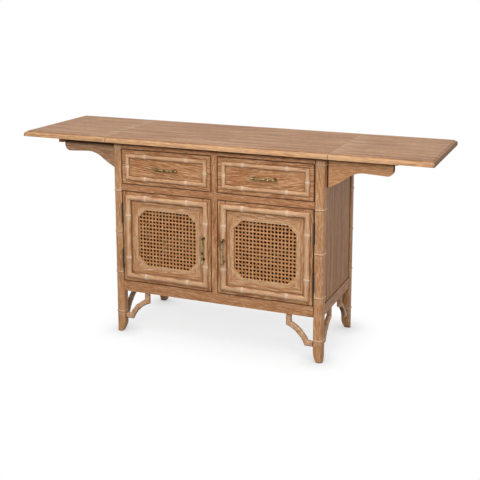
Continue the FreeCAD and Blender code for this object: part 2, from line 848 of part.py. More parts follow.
def make_sheet(label, layers, x, y, z):
    """Flat layers on one back face, each the outlines of its edge and openings and its thickness."""
    body = new_body(label)
    for index, (loops, thick) in enumerate(layers):
        sketch = new_sketch(body, f"{label}_outline_{index}")
        for loop in loops:
            draw(sketch, loop)
        pad(body, sketch, thick)
    return node(place(body, x, y, z, UPRIGHT), label)


def make_door(side, word):
    x = mirrored(side, (front_inner, front_outer))
    z = door_span
    frame = cell("frame_width")
    y = (front, door_back)
    hung = block(f"{word}_hung_stile", mirrored(side, (front_outer - frame, front_outer)), y, z)
    beds = [
        block(
            f"{word}_bed_{index}", mirrored(side, (front_outer - mortise_depth, front_outer)), y,
            (low, low + cell("hinge_height")),
        )
        for index, low in enumerate(hinge_lows)
    ]
    pieces = [
        cut(f"{word}_hinge_stile", hung, group(f"{word}_beds", beds)),
        block(f"{word}_free_stile", mirrored(side, (front_inner, front_inner + frame)), y, z),
        block(f"{word}_low_rail", (x[0] + frame, x[1] - frame), y, (z[0], z[0] + frame)),
        block(f"{word}_high_rail", (x[0] + frame, x[1] - frame), y, (z[1] - frame, z[1])),
    ]
    node(group(f"{word}_frame", pieces), f"{word}_door_frame")

    margin = cell("moulding_margin")
    moulding = make_moulding(
        f"{word}_door_bamboo", (x[0] + margin, x[1] - margin), (z[0] + margin, z[1] - margin),
        cell("door_moulding"), front, QUARTERS, QUARTERS,
    )
    node(moulding, f"{word}_door_moulding")

    wide, high = front_wide - frame * 2, z[1] - z[0] - frame * 2
    gap_x = (cell("cane_margin_side"), wide - cell("cane_margin_side"))
    gap_y = (cell("cane_margin_end"), high - cell("cane_margin_end"))
    chamfer, bead = cell("cane_chamfer"), cell("bead_width")
    panel_face = front + cell("door_panel_recess")
    panel_back = panel_face + cell("door_panel_thick")
    corner = (x[0] + frame, z[0] + frame)
    opening = octagon(gap_x, gap_y, chamfer)
    outer = rectangle((as_size(0), wide), (as_size(0), high))
    border, thick = cell("field_margin"), cell("door_panel_thick")
    field = rectangle((border, wide - border), (border, high - border))
    layers = [([outer, opening], thick), ([field, opening], thick + cell("field_proud"))]
    make_sheet(f"{word}_door_panel", layers, corner[0], panel_back, corner[1])
    cane_face = panel_face + cell("cane_depth")
    cane_back = cane_face + cell("cane_thick")
    make_sheet(f"{word}_cane", [([opening], cell("cane_thick"))], corner[0], cane_back, corner[1])
    # the bead keeps its width along the slanted corners
    slope = as_size(2).root()
    inside = octagon(
        (gap_x[0] + bead, gap_x[1] - bead), (gap_y[0] + bead, gap_y[1] - bead),
        chamfer - bead * (as_size(2) - slope),
    )
    stand = cell("cane_depth") + cell("field_proud") + cell("bead_proud")
    make_sheet(f"{word}_cane_bead", [([opening, inside], stand)], corner[0], cane_face, corner[1])

    # the pull saddles the round of the moulding beside the stile
    round_over = cell("door_moulding") / 2
    pull_x = (front_inner + margin + round_over) * side
    pull_z = door_middle - cell("pull_drop")
    pull = make_pull(f"{word}_door", pull_x, pull_z, front - round_over, True, cell("pull_saddle"))
    crest_low = pull_z - cell("pull_length") / 2
    crest = rod(f"{word}_crest", round_over, cell("pull_length"), pull_x, front, crest_low)
    node(cut(f"{word}_door_saddled", pull, crest), f"{word}_door_pull")

    plate_y = (hinge_y, door_back)
    hinges = [
        make_butt_hinge(
            f"{word}_door_hinge_{index}", side, hinge_x * side, hinge_y, low, cell("hinge_height"), plate_y
        )
        for index, low in enumerate(hinge_lows)
    ]
    node(group(f"{word}_flaps", [hinge[1] for hinge in hinges]), f"{word}_door_hinge_leaves")
    return [piece for hinge in hinges for piece in (hinge[0], hinge[2])]


door_plates = make_door(LEFT, "left") + make_door(RIGHT, "right")
node(group("door_plates", door_plates), "door_hinge_plates")

catch_x = (front_inner + cell("catch_inset"), front_inner + cell("catch_inset") + cell("catch_width"))
catch_y = (rail_back, rail_back + cell("catch_depth"))
catches = [
    block(f"catch_{side}", mirrored(side, catch_x), catch_y, (dust_low - cell("catch_height"), dust_low))
    for side in (LEFT, RIGHT)
]
node(group("catches", catches), "door_catches")


# Drawers on their runners

def make_drawer(side, word):
    x = mirrored(side, (front_inner, front_outer))
    z = drawer_span
    node(block(f"{word}_drawer_board", x, (front, door_back), z), f"{word}_drawer_front")
    margin = cell("moulding_margin")
    moulding = make_moulding(
        f"{word}_drawer_bamboo", (x[0] + margin, x[1] - margin), (z[0] + margin, z[1] - margin),
        cell("drawer_moulding"), front, QUARTERS, MIDDLE,
    )
    node(moulding, f"{word}_drawer_moulding")
    middle_x, middle_z = (x[0] + x[1]) / 2, (z[0] + z[1]) / 2
    node(make_pull(f"{word}_drawer", middle_x, middle_z, front, False), f"{word}_drawer_pull")

    board, groove = cell("drawer_side"), cell("drawer_groove")
    box_x = (x[0] + cell("drawer_inset"), x[1] - cell("drawer_inset"))
    box_y = (door_back, door_back + cell("drawer_length"))
    low = drawer_low + cell("drawer_lift")
    box_z = (low, low + cell("drawer_side_height"))
    floor_z = (low + groove, low + groove * 2)
    inner_x = (box_x[0] + board, box_x[1] - board)
    floor_x = (inner_x[0] - groove, inner_x[1] + groove)
    floor = block(f"{word}_drawer_floor", floor_x, box_y, floor_z)
    slot = block(f"{word}_drawer_slot", floor_x, box_y, floor_z)
    sides = [
        cut(f"{word}_drawer_side_{index}", block(f"{word}_drawer_plank_{index}", span, box_y, box_z), slot)
        for index, span in enumerate(((box_x[0], inner_x[0]), (inner_x[1], box_x[1])))
    ]
    end = block(f"{word}_drawer_end", inner_x, (box_y[1] - board, box_y[1]), (floor_z[1], box_z[1]))
    node(group(f"{word}_drawer_case", sides + [end, floor]), f"{word}_drawer_box")

    runner_y = (rail_back, post_inner_y)
    ledge_high = low - cell("runner_play")
    guide_high = low + cell("guide_height")
    runners = []
    for index, way in enumerate((LEFT, RIGHT)):
        edge = box_x[index]
        inward = edge - cell("runner_width") * way
        outer = edge + cell("runner_play") * way
        outmost = outer + cell("guide_width") * way
        ledge = (outmost, inward) if way == LEFT else (inward, outmost)
        guide = (outmost, outer) if way == LEFT else (outer, outmost)
        name = f"{word}_runner_{index}"
        runners.append(fuse(name, [
            block(f"{name}_ledge", ledge, runner_y, (dust_high, ledge_high)),
            block(f"{name}_guide", guide, runner_y, (dust_high, guide_high)),
        ]))
    return runners


node(group("runners", make_drawer(LEFT, "left") + make_drawer(RIGHT, "right")), "drawer_runners")


# Fly brackets, hung on strip hinges behind the front posts

bracket_front = -post_inner_y + cell("bracket_play")
bracket_y = (bracket_front, bracket_front + cell("bracket_thick"))
bracket_pin_x = half_width + cell("leaf_plate") + cell("plate_play") / 2
bracket_pin_y = bracket_y[1] + cell("knuckle_radius") + cell("knuckle_play")
bracket_root = half_width + cell("leaf_plate") * 2 + cell("plate_play")
bracket_high = top_under - cell("bracket_play")
bracket_low = bracket_high - cell("bracket_drop")


def make_bracket(label, angle):
    """A board with an ogee underside, deepest at the hinge and rounded at the free end."""
    body = new_body(label)
    long, drop, curve = cell("bracket_length"), cell("bracket_drop"), cell("bracket_curve")
    turn_out, turn_up = cell("bracket_turn_out"), cell("bracket_turn_up")
    rise, rise_end = drop - cell("bracket_arm"), drop - cell("bracket_arm_end")
    corner = cell("bracket_round")
    # the outer arc is level where the arm begins, and the inner arc meets it smoothly at the turn
    run, climb = curve - turn_out, rise - turn_up
    outer = (run * run + climb * climb) / (climb * 2)
    lean = run * turn_out - (outer - climb) * turn_up
    inner = outer * (turn_out * turn_out + turn_up * turn_up) / (lean * 2)
    outline = [
        (0, 0, inner, 1), (turn_out, turn_up, outer, -1), (curve, rise),
        (long - corner, rise_end, corner, 1), (long, rise_end + corner), (long, drop), (0, drop),
    ]
    pad(body, draw(new_sketch(body, f"{label}_outline"), outline), cell("bracket_thick"))
    out = 1 if angle == 0 else -1
    face = bracket_y[1] if angle == 0 else bracket_y[0]
    return node(place(body, bracket_root * out, face, bracket_low, turn_z(angle) * UPRIGHT), label)


make_bracket("left_bracket", 180)
make_bracket("right_bracket", 0)
strip_z = (bracket_low, top_under)
strip_x = (panel_outer, half_width)
strips = [block(f"strip_{side}", mirrored(side, strip_x), bracket_y, strip_z) for side in (LEFT, RIGHT)]
node(group("strips", strips), "bracket_hinge_strips")
strip_hinge_low = bracket_high - cell("strip_hinge_height")
bracket_plates = []
for side, word in ((LEFT, "left"), (RIGHT, "right")):
    fixed, moving, pin = make_butt_hinge(
        f"{word}_bracket_hinge", -side, bracket_pin_x * side, bracket_pin_y, strip_hinge_low,
        cell("strip_hinge_height"), (bracket_y[0], bracket_pin_y),
    )
    node(moving, f"{word}_bracket_hinge_leaf")
    bracket_plates += [fixed, pin]
node(group("bracket_plates", bracket_plates), "bracket_hinge_plates")

stop_end = bracket_root + cell("bracket_length")
stop_x = (stop_end - cell("stop_lap"), stop_end - cell("stop_lap") + cell("stop_length"))
stop_y = (-post_inner_y - cell("stop_width"), -post_inner_y)
stop_z = (top_under - cell("stop_height"), top_under)
stops = [block(f"stop_{side}", mirrored(side, stop_x), stop_y, stop_z) for side in (LEFT, RIGHT)]
node(group("stops", stops), "leaf_stop_blocks")


# Every object must have been made, and every sub-part must be a valid solid, before anything is written

doc.recompute()
failed = [item.Label for item in doc.Objects if "Invalid" in item.State or "Error" in item.State]
if failed:
    raise RuntimeError(f"not made: {failed}")
for item in nodes:
    if item.Shape.isNull() or not item.Shape.isValid() or not item.Shape.Solids:
        raise RuntimeError(f"no valid solid: {item.Label}")

os.makedirs("parts", exist_ok=True)
for item in nodes:
    item.Shape.exportStep(f"parts/{item.Label}.step")
print(f"{len(nodes)} sub-parts, {sum(len(item.Shape.Solids) for item in nodes)} solids")
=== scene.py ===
import json
import math

import bmesh
import bpy
from mathutils import Matrix, Vector


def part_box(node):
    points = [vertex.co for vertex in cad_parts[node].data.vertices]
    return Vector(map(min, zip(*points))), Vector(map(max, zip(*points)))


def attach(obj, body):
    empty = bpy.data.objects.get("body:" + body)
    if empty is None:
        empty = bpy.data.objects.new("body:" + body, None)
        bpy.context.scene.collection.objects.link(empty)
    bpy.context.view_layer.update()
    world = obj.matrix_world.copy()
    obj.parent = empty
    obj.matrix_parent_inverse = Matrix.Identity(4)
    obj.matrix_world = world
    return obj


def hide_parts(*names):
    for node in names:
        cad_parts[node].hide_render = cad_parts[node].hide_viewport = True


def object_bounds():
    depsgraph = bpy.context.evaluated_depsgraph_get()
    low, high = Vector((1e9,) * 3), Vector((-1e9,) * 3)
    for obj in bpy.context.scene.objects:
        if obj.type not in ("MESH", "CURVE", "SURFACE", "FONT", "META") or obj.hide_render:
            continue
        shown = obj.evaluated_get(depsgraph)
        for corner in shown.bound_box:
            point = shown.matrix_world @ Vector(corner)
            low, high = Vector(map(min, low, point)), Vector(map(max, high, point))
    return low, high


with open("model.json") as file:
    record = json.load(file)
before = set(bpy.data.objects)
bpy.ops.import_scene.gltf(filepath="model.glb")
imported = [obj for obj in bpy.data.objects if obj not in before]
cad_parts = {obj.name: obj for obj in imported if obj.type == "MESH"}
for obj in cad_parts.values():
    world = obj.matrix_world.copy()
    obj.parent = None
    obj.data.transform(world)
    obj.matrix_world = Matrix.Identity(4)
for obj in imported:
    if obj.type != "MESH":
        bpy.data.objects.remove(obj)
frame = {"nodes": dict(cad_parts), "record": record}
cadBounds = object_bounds()
nodes = frame["nodes"]
print("frame loaded:", len(nodes), "nodes")


def linear(hexColour):
    # sRGB hex to the linear colour that the shaders take
    parts = [int(hexColour[i:i + 2], 16) / 255 for i in (0, 2, 4)]
    return [p / 12.92 if p <= 0.04045 else ((p + 0.055) / 1.055) ** 2.4 for p in parts] + [1.0]


def addNode(tree, kind, inputs=None, stops=None, **settings):
    # one node, its settings, and its inputs: each a value, another node's output, or a list of outputs to
    # join; stops are a ramp's colours as (place, hex)
    node = tree.nodes.new(kind)
    for key, value in settings.items():
        setattr(node, key, value)
    for count, (place, colour) in enumerate(stops or []):
        elements = node.color_ramp.elements
        stop = elements[count] if count < 2 else elements.new(place)
        stop.position, stop.color = place, linear(colour)
    for key, value in (inputs or {}).items():
        sources = value if isinstance(value, list) else [value]
        if isinstance(sources[0], bpy.types.NodeSocket):
            for source in sources:
                tree.links.new(source, node.inputs[key])
        else:
            node.inputs[key].default_value = value
    return node.outputs


def newMaterial(name):
    material = bpy.data.materials.new(name)
    material.use_nodes = True
    material.node_tree.nodes.clear()
    return material, material.node_tree


def endMaterial(material, inputs):
    tree = material.node_tree
    shader = addNode(tree, "ShaderNodeBsdfPrincipled", inputs)[0]
    addNode(tree, "ShaderNodeOutputMaterial", {"Surface": shader})
    return material


def mostLeft(tree, *applied):
    # the most that any of these coats leaves; each is a measure, such as a distance, where the coat runs out,
    # where it is full, and its share there
    most = 0.0
    for measure, out, full, share in applied:
        left = addNode(
            tree, "ShaderNodeMapRange", {"Value": measure, "From Min": out, "From Max": full, "To Max": share}
        )[0]
        most = addNode(tree, "ShaderNodeMath", {0: most, 1: left}, operation="MAXIMUM")[0]
    return most


def newTree(name, sizes):
    # a Geometry Nodes tree with a named input for each size; returns the tree and those inputs
    tree = bpy.data.node_groups.new(name, "GeometryNodeTree")
    tree.interface.new_socket("Geometry", in_out="OUTPUT", socket_type="NodeSocketGeometry")
    kinds = {int: "NodeSocketInt", float: "NodeSocketFloat", tuple: "NodeSocketVector"}
    for key, value in sizes.items():
        kind = kinds.get(type(value), "NodeSocketMaterial")
        tree.interface.new_socket(key, in_out="INPUT", socket_type=kind)
    return tree, tree.nodes.new("NodeGroupInput").outputs


def endTree(tree, drawing, given):
    # stands a drawing that lies flat upright at its place, facing the front, and ends the tree
    upright = (math.radians(90), 0, 0)
    stood = addNode(
        tree, "GeometryNodeTransform",
        {"Geometry": drawing, "Translation": given["place"], "Rotation": upright},
    )[0]
    real = addNode(tree, "GeometryNodeRealizeInstances", {"Geometry": stood})[0]
    dressed = addNode(tree, "GeometryNodeSetMaterial", {"Geometry": real, "Material": given["finish"]})[0]
    addNode(tree, "NodeGroupOutput", {"Geometry": dressed})


def growPiece(name, tree, sizes, body, replaced):
    # runs a tree with its sizes, keeps the result as a plain mesh and hangs it on its body
    piece = bpy.data.objects.new(name, bpy.data.meshes.new(name))
    bpy.context.scene.collection.objects.link(piece)
    modifier = piece.modifiers.new(name, "NODES")
    modifier.node_group = tree
    for item in tree.interface.items_tree:
        if item.in_out == "INPUT":
            modifier[item.identifier] = sizes[item.name]
    drawn = piece.evaluated_get(bpy.context.evaluated_depsgraph_get())
    mesh = bpy.data.meshes.new_from_object(drawn)
    piece.modifiers.clear()
    piece.data = mesh
    mesh.name = name
    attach(piece, body)
    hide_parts(replaced)
    print(name, "made:", len(mesh.polygons), "faces")


# washed oak: flat-sawn, wire-brushed, stained honey brown, then limed and glazed, with matt wax. The eye gets
# brown late wood, paler early wood with white wash in its open pores, pale rubbed edges that also carry a
# painted highlight, and dark corners of glaze and painted shade
oak = {
    "late": "7C4A27",
    "body": "AC7345",
    "early": "CA9767",
    "lime": "E2C3A4",
    # the glaze colour also paints shade: in corners, in gaps, under the top and under bars
    "glaze": "301A0E",
    # the edge colour is worn edges, and a painted highlight on them
    "edge": "D8A97D",
    "bandWidth": 0.013, "bandLength": 0.16,     # groups of rings
    "lineWidth": 0.0030, "lineLength": 0.080,   # rings are 2 to 4 mm; drawn coarse so that they show
    "poreWidth": 0.0020, "poreLength": 0.028,   # pores are 0.3 mm wide; drawn coarser so that they show
    "pithDepth": 0.034, "pithAside": 0.0,       # how far behind and beside the face the heart of the log lies
    "lean": 3.6,                                # degrees between the log's heart and the board
    "wander": 0.016,                            # how far the rings stray
    "wanderPace": (2.6, 15, 15),                # how fast, along and across the board
    "poreEdge": (0.50, 0.64), "toneStops": (0.20, 0.47, 0.78), "paleTone": (0.42, 0.80),
    "bandShare": 0.55, "lineShare": 1.1, "poreShare": 0.8,
    "limeShare": 0.60, "glazeShare": 0.85, "edgeShare": 0.55,
    # a worn edge also carries a painted highlight
    "rubbed": 0.0022, "brushed": 0.0004,        # radius of a worn edge and depth of the brushing
    "rubbedTurn": (0.97, 0.80),                 # cosine of the bevel's turn, from untouched to rubbed
    # corners take glaze and painted shade: how far it stays out, and how open a corner is
    "glazeReach": 0.009,                        # how far glaze stays out of a corner
    "glazeClear": (0.88, 0.50),                 # how open the corner is, from clean to full
    "roughness": 0.55, "roughLess": 0.06, "roughMore": 0.14, "glazeRough": 0.6,
    "poreDeep": 0.5, "bump": 0.5, "ior": 1.47,
}
oakTop = dict(
    oak, late="8C6144", body="AC7E5A", early="C29A78", edge="E0AC78", bandWidth=0.024, bandLength=0.5,
    lineWidth=0.011, lineLength=0.22, pithDepth=0.5, pithAside=0.9, lean=0.4, bandShare=0.75, lineShare=0.85,
    limeShare=0.35, edgeShare=0.5, glazeShare=0.4, roughness=0.60,
)
oakSide = dict(
    oak, late="835834", body="A8764C", early="C09266", bandWidth=0.030, bandLength=0.5, lineWidth=0.014,
    lineLength=0.20, pithDepth=0.05, pithAside=0.9, lean=0.5, bandShare=1.1, lineShare=0.7, limeShare=0.35,
    edgeShare=0.3, roughness=0.66,
)
oakPost = dict(
    oak, late="96633B", body="B78051", early="CB9A6B", limeShare=0.68, bandShare=0.45, lineShare=0.85,
    poreShare=1.1,
)
oakRail = dict(oak, body="A86F43", bandShare=0.3, lineShare=0.5)
oakDrawer = dict(oak, pithDepth=0.022, lean=6.5, lineShare=1.3, glazeShare=0.6)
oakDoor = dict(oak, glazeShare=0.55)
oakPanel = dict(
    oakPost, late="9A673E", body="BB8455", early="CF9E6F", glazeShare=0.7, lineShare=0.8, poreWidth=0.0034,
    poreLength=0.05, limeShare=1.0,
)
# the bead round the cane: wash and stain in short strokes, so that it goes with the cane
oakBead = dict(
    oakPost, late="9A6436", body="CF9C68", early="EBC296", bandShare=0.2, lineShare=0.3, poreShare=1.7,
    poreWidth=0.0036, poreLength=0.0036, limeShare=1.0, glazeShare=0.4,
)
# lit and shaded copies of the posts' oak: painted light on the right bracket, painted shade on the left
# bracket and the left side's frets
oakBracket = dict(oakPost, late="A06A3D", body="C48A57", early="D8A574")
oakBracketDark = dict(oakPost, late="825938", body="A87B57", early="C09470", limeShare=0.5)
oakStick = dict(oakPost, late="9A673E", body="C18A5B", early="D8A97A", lineShare=1.2)
# plywood and drawer stock inside the case: sanded and stained dark brown, and made darker still as painted
# shade inside the case; the eye gets little but its tone
insideStock = dict(
    oak, late="2E1F13", body="3D2B1B", early="4B3624", lime="5C4531", edge="4E3A28", lineShare=0.8,
    limeShare=0.2, edgeShare=0.2, roughness=0.6,
)
# the back is a sheet of the same, with the broad figure of peeled veneer
backStock = dict(
    insideStock, late="35241A", body="54402B", early="715740", bandWidth=0.030, bandLength=0.5,
    lineWidth=0.010, lineLength=0.20, pithDepth=0.04, lean=1.2, bandShare=1.1, lineShare=1.2,
)


def oakFigure(tree, grain, seed, look):
    # tone and pores of one board; grain has X along the board, and the rings run out in arches where the log
    # leans. The seed moves and turns the log, so that no two boards match
    aside = look["pithAside"] + ((seed * 0.417) % 1 - 0.5) * 0.16
    shift = ((seed * 0.731) % 1.9, aside, look["pithDepth"] * (0.6 + (seed * 0.291) % 0.8))
    lean = (0, math.radians(look["lean"]) * (1 if seed % 2 else -1), math.radians((seed * 0.53) % 1.6 - 0.8))
    sawn = addNode(tree, "ShaderNodeMapping", {"Vector": grain, "Location": shift, "Rotation": lean})[0]
    drawn = addNode(tree, "ShaderNodeVectorMath", {0: sawn, 1: look["wanderPace"]}, operation="MULTIPLY")[0]
    sway = addNode(tree, "ShaderNodeTexNoise", {"Vector": drawn, "Scale": 1.0, "Detail": 1.0})["Color"]
    wander = (0, look["wander"], look["wander"])
    swayed = addNode(tree, "ShaderNodeVectorMath", {0: sway, 1: wander, 2: sawn}, operation="MULTIPLY_ADD")[0]
    radial = addNode(tree, "ShaderNodeVectorMath", {0: swayed, 1: (0, 1, 1)}, operation="MULTIPLY")[0]
    radius = addNode(tree, "ShaderNodeVectorMath", {0: radial}, operation="LENGTH")["Value"]
    along = addNode(tree, "ShaderNodeSeparateXYZ", {0: swayed})["X"]
    place = addNode(tree, "ShaderNodeCombineXYZ", {"X": along, "Y": radius, "Z": seed * 3.17})[0]
    noises = []
    across = 1 / look["poreWidth"]
    for kind, source, deep in (("band", place, 1), ("line", place, 1), ("pore", swayed, across)):
        size = (1 / look[kind + "Length"], 1 / look[kind + "Width"], deep)
        drawn = addNode(tree, "ShaderNodeVectorMath", {0: source, 1: size}, operation="MULTIPLY")[0]
        noise = addNode(tree, "ShaderNodeTexNoise", {"Vector": drawn, "Scale": 1.0, "Detail": 2.0})["Fac"]
        noises.append(noise)
    pores = mostLeft(tree, (noises[2], *look["poreEdge"], 1.0))
    shares = [look[kind + "Share"] for kind in ("band", "line", "pore")]
    tone = 0.5 - 0.5 * sum(shares)
    for noise, share in zip(noises, shares):
        tone = addNode(tree, "ShaderNodeMath", {0: noise, 1: share, 2: tone}, operation="MULTIPLY_ADD")[0]
    return tone, pores


def finishOak(name, grain, seed, look, limed, outlined, worn=None):
    # the four functions that are passed in add their nodes: the place with X along the board, where wash is
    # left, with a painted highlight on the crests of mouldings, where glaze and painted shade are left, and
    # where use has rubbed the stain away, which also carries a painted highlight
    material, tree = newMaterial(name)
    tone, pores = oakFigure(tree, grain(tree), seed, look)
    colours = list(zip(look["toneStops"], (look["late"], look["body"], look["early"])))
    colour = addNode(tree, "ShaderNodeValToRGB", {"Fac": tone}, stops=colours)["Color"]
    # wash in the open pores of the early wood
    pale = mostLeft(tree, (tone, *look["paleTone"], look["limeShare"]))
    wash = addNode(tree, "ShaderNodeMath", {0: pale, 1: pores}, operation="MULTIPLY")[0]
    # rubbed edges, which also carry a painted highlight: where a small bevel would turn the surface
    facing = addNode(tree, "ShaderNodeNewGeometry")["Normal"]
    eased = addNode(tree, "ShaderNodeBevel", {"Radius": look["rubbed"]}, samples=4)[0]
    match = addNode(tree, "ShaderNodeVectorMath", {0: facing, 1: eased}, operation="DOT_PRODUCT")["Value"]
    rubbed = mostLeft(tree, (match, *look["rubbedTurn"], look["edgeShare"]))
    # matt glaze wiped off the flats, and painted shade, both left in the corners
    clear = addNode(tree, "ShaderNodeAmbientOcclusion", {"Distance": look["glazeReach"]}, samples=8)["AO"]
    glaze = mostLeft(tree, (clear, *look["glazeClear"], look["glazeShare"]))
    for coat, more, paint in ((wash, limed, "lime"), (rubbed, worn, "edge"), (glaze, outlined, "glaze")):
        if more:
            coat = addNode(tree, "ShaderNodeMath", {0: coat, 1: more(tree)}, operation="MAXIMUM")[0]
        colour = addNode(
            tree, "ShaderNodeMix", {0: coat, 6: colour, 7: linear(look[paint])}, data_type="RGBA"
        )[2]

    low, high = look["roughness"] - look["roughLess"], look["roughness"] + look["roughMore"]
    rough = addNode(tree, "ShaderNodeMapRange", {"Value": tone, "To Min": low, "To Max": high})[0]
    # the last coat is the glaze with the painted shade, which is made rougher
    rough = addNode(
        tree, "ShaderNodeMath", {0: coat, 1: look["glazeRough"], 2: rough},
        operation="MULTIPLY_ADD", use_clamp=True,
    )[0]
    height = addNode(
        tree, "ShaderNodeMath", {0: pores, 1: -look["poreDeep"], 2: tone}, operation="MULTIPLY_ADD"
    )[0]
    bump = addNode(
        tree, "ShaderNodeBump", {"Height": height, "Strength": look["bump"], "Distance": look["brushed"]}
    )[0]
    return endMaterial(
        material, {"Base Color": colour, "Roughness": rough, "Normal": bump, "IOR": look["ior"]}
    )


grainTurn = {"x": (0, 0, 0), "y": (0, 0, math.radians(-90)), "z": (0, math.radians(90), 0)}
frameApart = (0.31, 0.0, 0.23)      # from the wood of one side of a frame to that of the other
patchEdge = (0.38, 0.64)            # of the cloud that wash is left by, from bare to full


def alongAxis(axis):
    # a board whose grain runs along one axis
    def grain(tree):
        place = addNode(tree, "ShaderNodeTexCoord")["Object"]
        return addNode(tree, "ShaderNodeMapping", {"Vector": place, "Rotation": grainTurn[axis]})[0]
    return grain


def fromMiddle(tree, middle=(0, 0, 0), half=(0, 0, 0)):
    # how far a place lies beyond a half size, counted from a middle, along each axis
    place = addNode(tree, "ShaderNodeTexCoord")["Object"]
    away = addNode(tree, "ShaderNodeVectorMath", {0: place, 1: tuple(middle)}, operation="SUBTRACT")[0]
    away = addNode(tree, "ShaderNodeVectorMath", {0: away}, operation="ABSOLUTE")[0]
    away = addNode(tree, "ShaderNodeVectorMath", {0: away, 1: tuple(half)}, operation="SUBTRACT")[0]
    return addNode(tree, "ShaderNodeSeparateXYZ", {0: away})


def alongFrame(middle, half, mitred):
    # stiles upright and rails across; half is where the stiles begin, and the heads too where they are mitred
    def grain(tree):
        away = fromMiddle(tree, middle, half)
        rule = away["Z"] if mitred else 0.0
        upright = addNode(tree, "ShaderNodeMath", {0: away["X"], 1: rule}, operation="GREATER_THAN")[0]
        place = addNode(tree, "ShaderNodeTexCoord")["Object"]
        rail, stile = [
            addNode(tree, "ShaderNodeMapping", {"Vector": place, "Rotation": grainTurn[axis]})[0]
            for axis in "xz"
        ]
        # each side of the middle is a board of its own
        sides = addNode(tree, "ShaderNodeVectorMath", {0: place, 1: tuple(middle)}, operation="SUBTRACT")[0]
        sides = addNode(tree, "ShaderNodeVectorMath", {0: sides}, operation="SIGN")[0]
        moved = addNode(tree, "ShaderNodeVectorMath", {0: sides, 1: frameApart}, operation="MULTIPLY")[0]
        mixed = addNode(tree, "ShaderNodeMix", {0: upright, 4: rail, 5: stile}, data_type="VECTOR")[1]
        return addNode(tree, "ShaderNodeVectorMath", {0: mixed, 1: moved}, operation="ADD")[0]
    return grain


# coats of wash and glaze, and of painted shade and painted highlight: where each runs out, where it is full,
# and its share
coats = {
    # the outline is glaze and painted shade of the gap round a door or drawer front
    "outline": (-0.0045, -0.0015, 0.8),    # from the outline of a door or a drawer front
    # painted shade on a bracket's free end
    "freeEnd": (-0.005, -0.002, 0.75),     # from the free end of a bracket
    "inside": (0.001, 0.0002, 0.9),        # from the face of a side panel that is inside the case
    "topEnd": (-0.010, -0.002, 0.42),      # from the two ends of the top
    "ring": (0.0085, 0.0040, 0.85),        # from the middle of a moulding's node
    "haze": (0.040, 0.005, 0.45),
    # painted highlight along a moulding's crest
    "crest": (0.0065, 0.0098, 0.40),       # above the board that a moulding lies on
    # painted shade low on a moulding's sides
    "sides": (0.0052, 0.0018, 0.60),
    # painted shade on the undersides of a fret's bars
    "under": (-0.2, -0.8, 0.7),            # how far a fret's bar faces up
}


def roundOutline(middle, half):
    # the last few millimetres of a door or drawer front: glaze, and painted shade of the gap round it
    def outlined(tree):
        away = fromMiddle(tree, middle, half)
        return mostLeft(tree, (away["X"], *coats["outline"]), (away["Z"], *coats["outline"]))
    return outlined


# painted shadow of the top's overhang on the boards that reach up to it
topShadow = {
    "under": 0.890, "fade": 0.013, "share": 0.95,       # height of the corner below the top
    "between": (0.880, 0.895),                          # heights of the boards that reach up to it
    "depth": 0.23,                                      # how far down, as a share of the overhang
    "depths": {"left_bracket": 0.30, "right_bracket": 0.17, "leaf_stop_blocks": 0.16},
}


def shadowUnderTop(setBack, depth, end=None):
    # painted shadow of the top on the boards below it, deeper where the top hangs out further, and painted
    # shade on a bracket's free end
    def outlined(tree):
        dark = topShadow["under"] - depth * setBack
        glaze = [(fromMiddle(tree)["Z"], dark - topShadow["fade"], dark, topShadow["share"])]
        if end:
            glaze.append((fromMiddle(tree, half=(end, 0, 0))["X"], *coats["freeEnd"]))
        return mostLeft(tree, *glaze)
    return outlined


def darkenedInside(face):
    # the side of a panel that faces into the case gets the stock's dark tone: its stain, and painted shade
    # inside the case
    def outlined(tree):
        return mostLeft(tree, (fromMiddle(tree, half=(face, 0, 0))["X"], *coats["inside"]))
    return outlined


def alongStick(tree):
    # the place along, across and above a stick, stored on its mesh
    return addNode(tree, "ShaderNodeAttribute", attribute_name="grainPlace")["Vector"]


def patchyWash(tree, patch, least, most):
    # how much wash is left, from patch to patch
    place = addNode(tree, "ShaderNodeTexCoord")["Object"]
    drawn = addNode(tree, "ShaderNodeVectorMath", {0: place, 1: patch}, operation="DIVIDE")[0]
    cloud = addNode(tree, "ShaderNodeTexNoise", {"Vector": drawn, "Scale": 1.0, "Detail": 2.0})["Fac"]
    bare, full = patchEdge
    return addNode(
        tree, "ShaderNodeMapRange",
        {"Value": cloud, "From Min": bare, "From Max": full, "To Min": least, "To Max": most},
    )[0]


def nodeRingsAndCrestHighlight(tree):
    # wash left on the nodes of a moulding, thinner beside them, and a painted highlight along the crest
    gap = addNode(tree, "ShaderNodeAttribute", attribute_name="nodeGap")["Fac"]
    above = addNode(tree, "ShaderNodeSeparateXYZ", {0: alongStick(tree)})["Z"]
    return mostLeft(tree, (gap, *coats["ring"]), (gap, *coats["haze"]), (above, *coats["crest"]))


def stickFootShade(tree):
    # glaze and painted shade low on both sides of a moulding
    above = addNode(tree, "ShaderNodeSeparateXYZ", {0: alongStick(tree)})["Z"]
    return mostLeft(tree, (above, *coats["sides"]))


topSeam = {
    "at": 0.5152,
    "line": 0.0030, "lineShare": 0.22, "notchShare": 0.60, "notch": 0.012,   # wax, more at the joint's ends
    "haze": 0.110, "hazeShare": 0.5, "hazeStreak": (0.090, 0.016, 0.016),
    "worn": 0.009, "wornFull": 0.003, "wornLeast": 0.05, "wornMost": 0.95,   # streaks along the long edges
    "streak": (0.045, 0.0032, 0.0032),
}


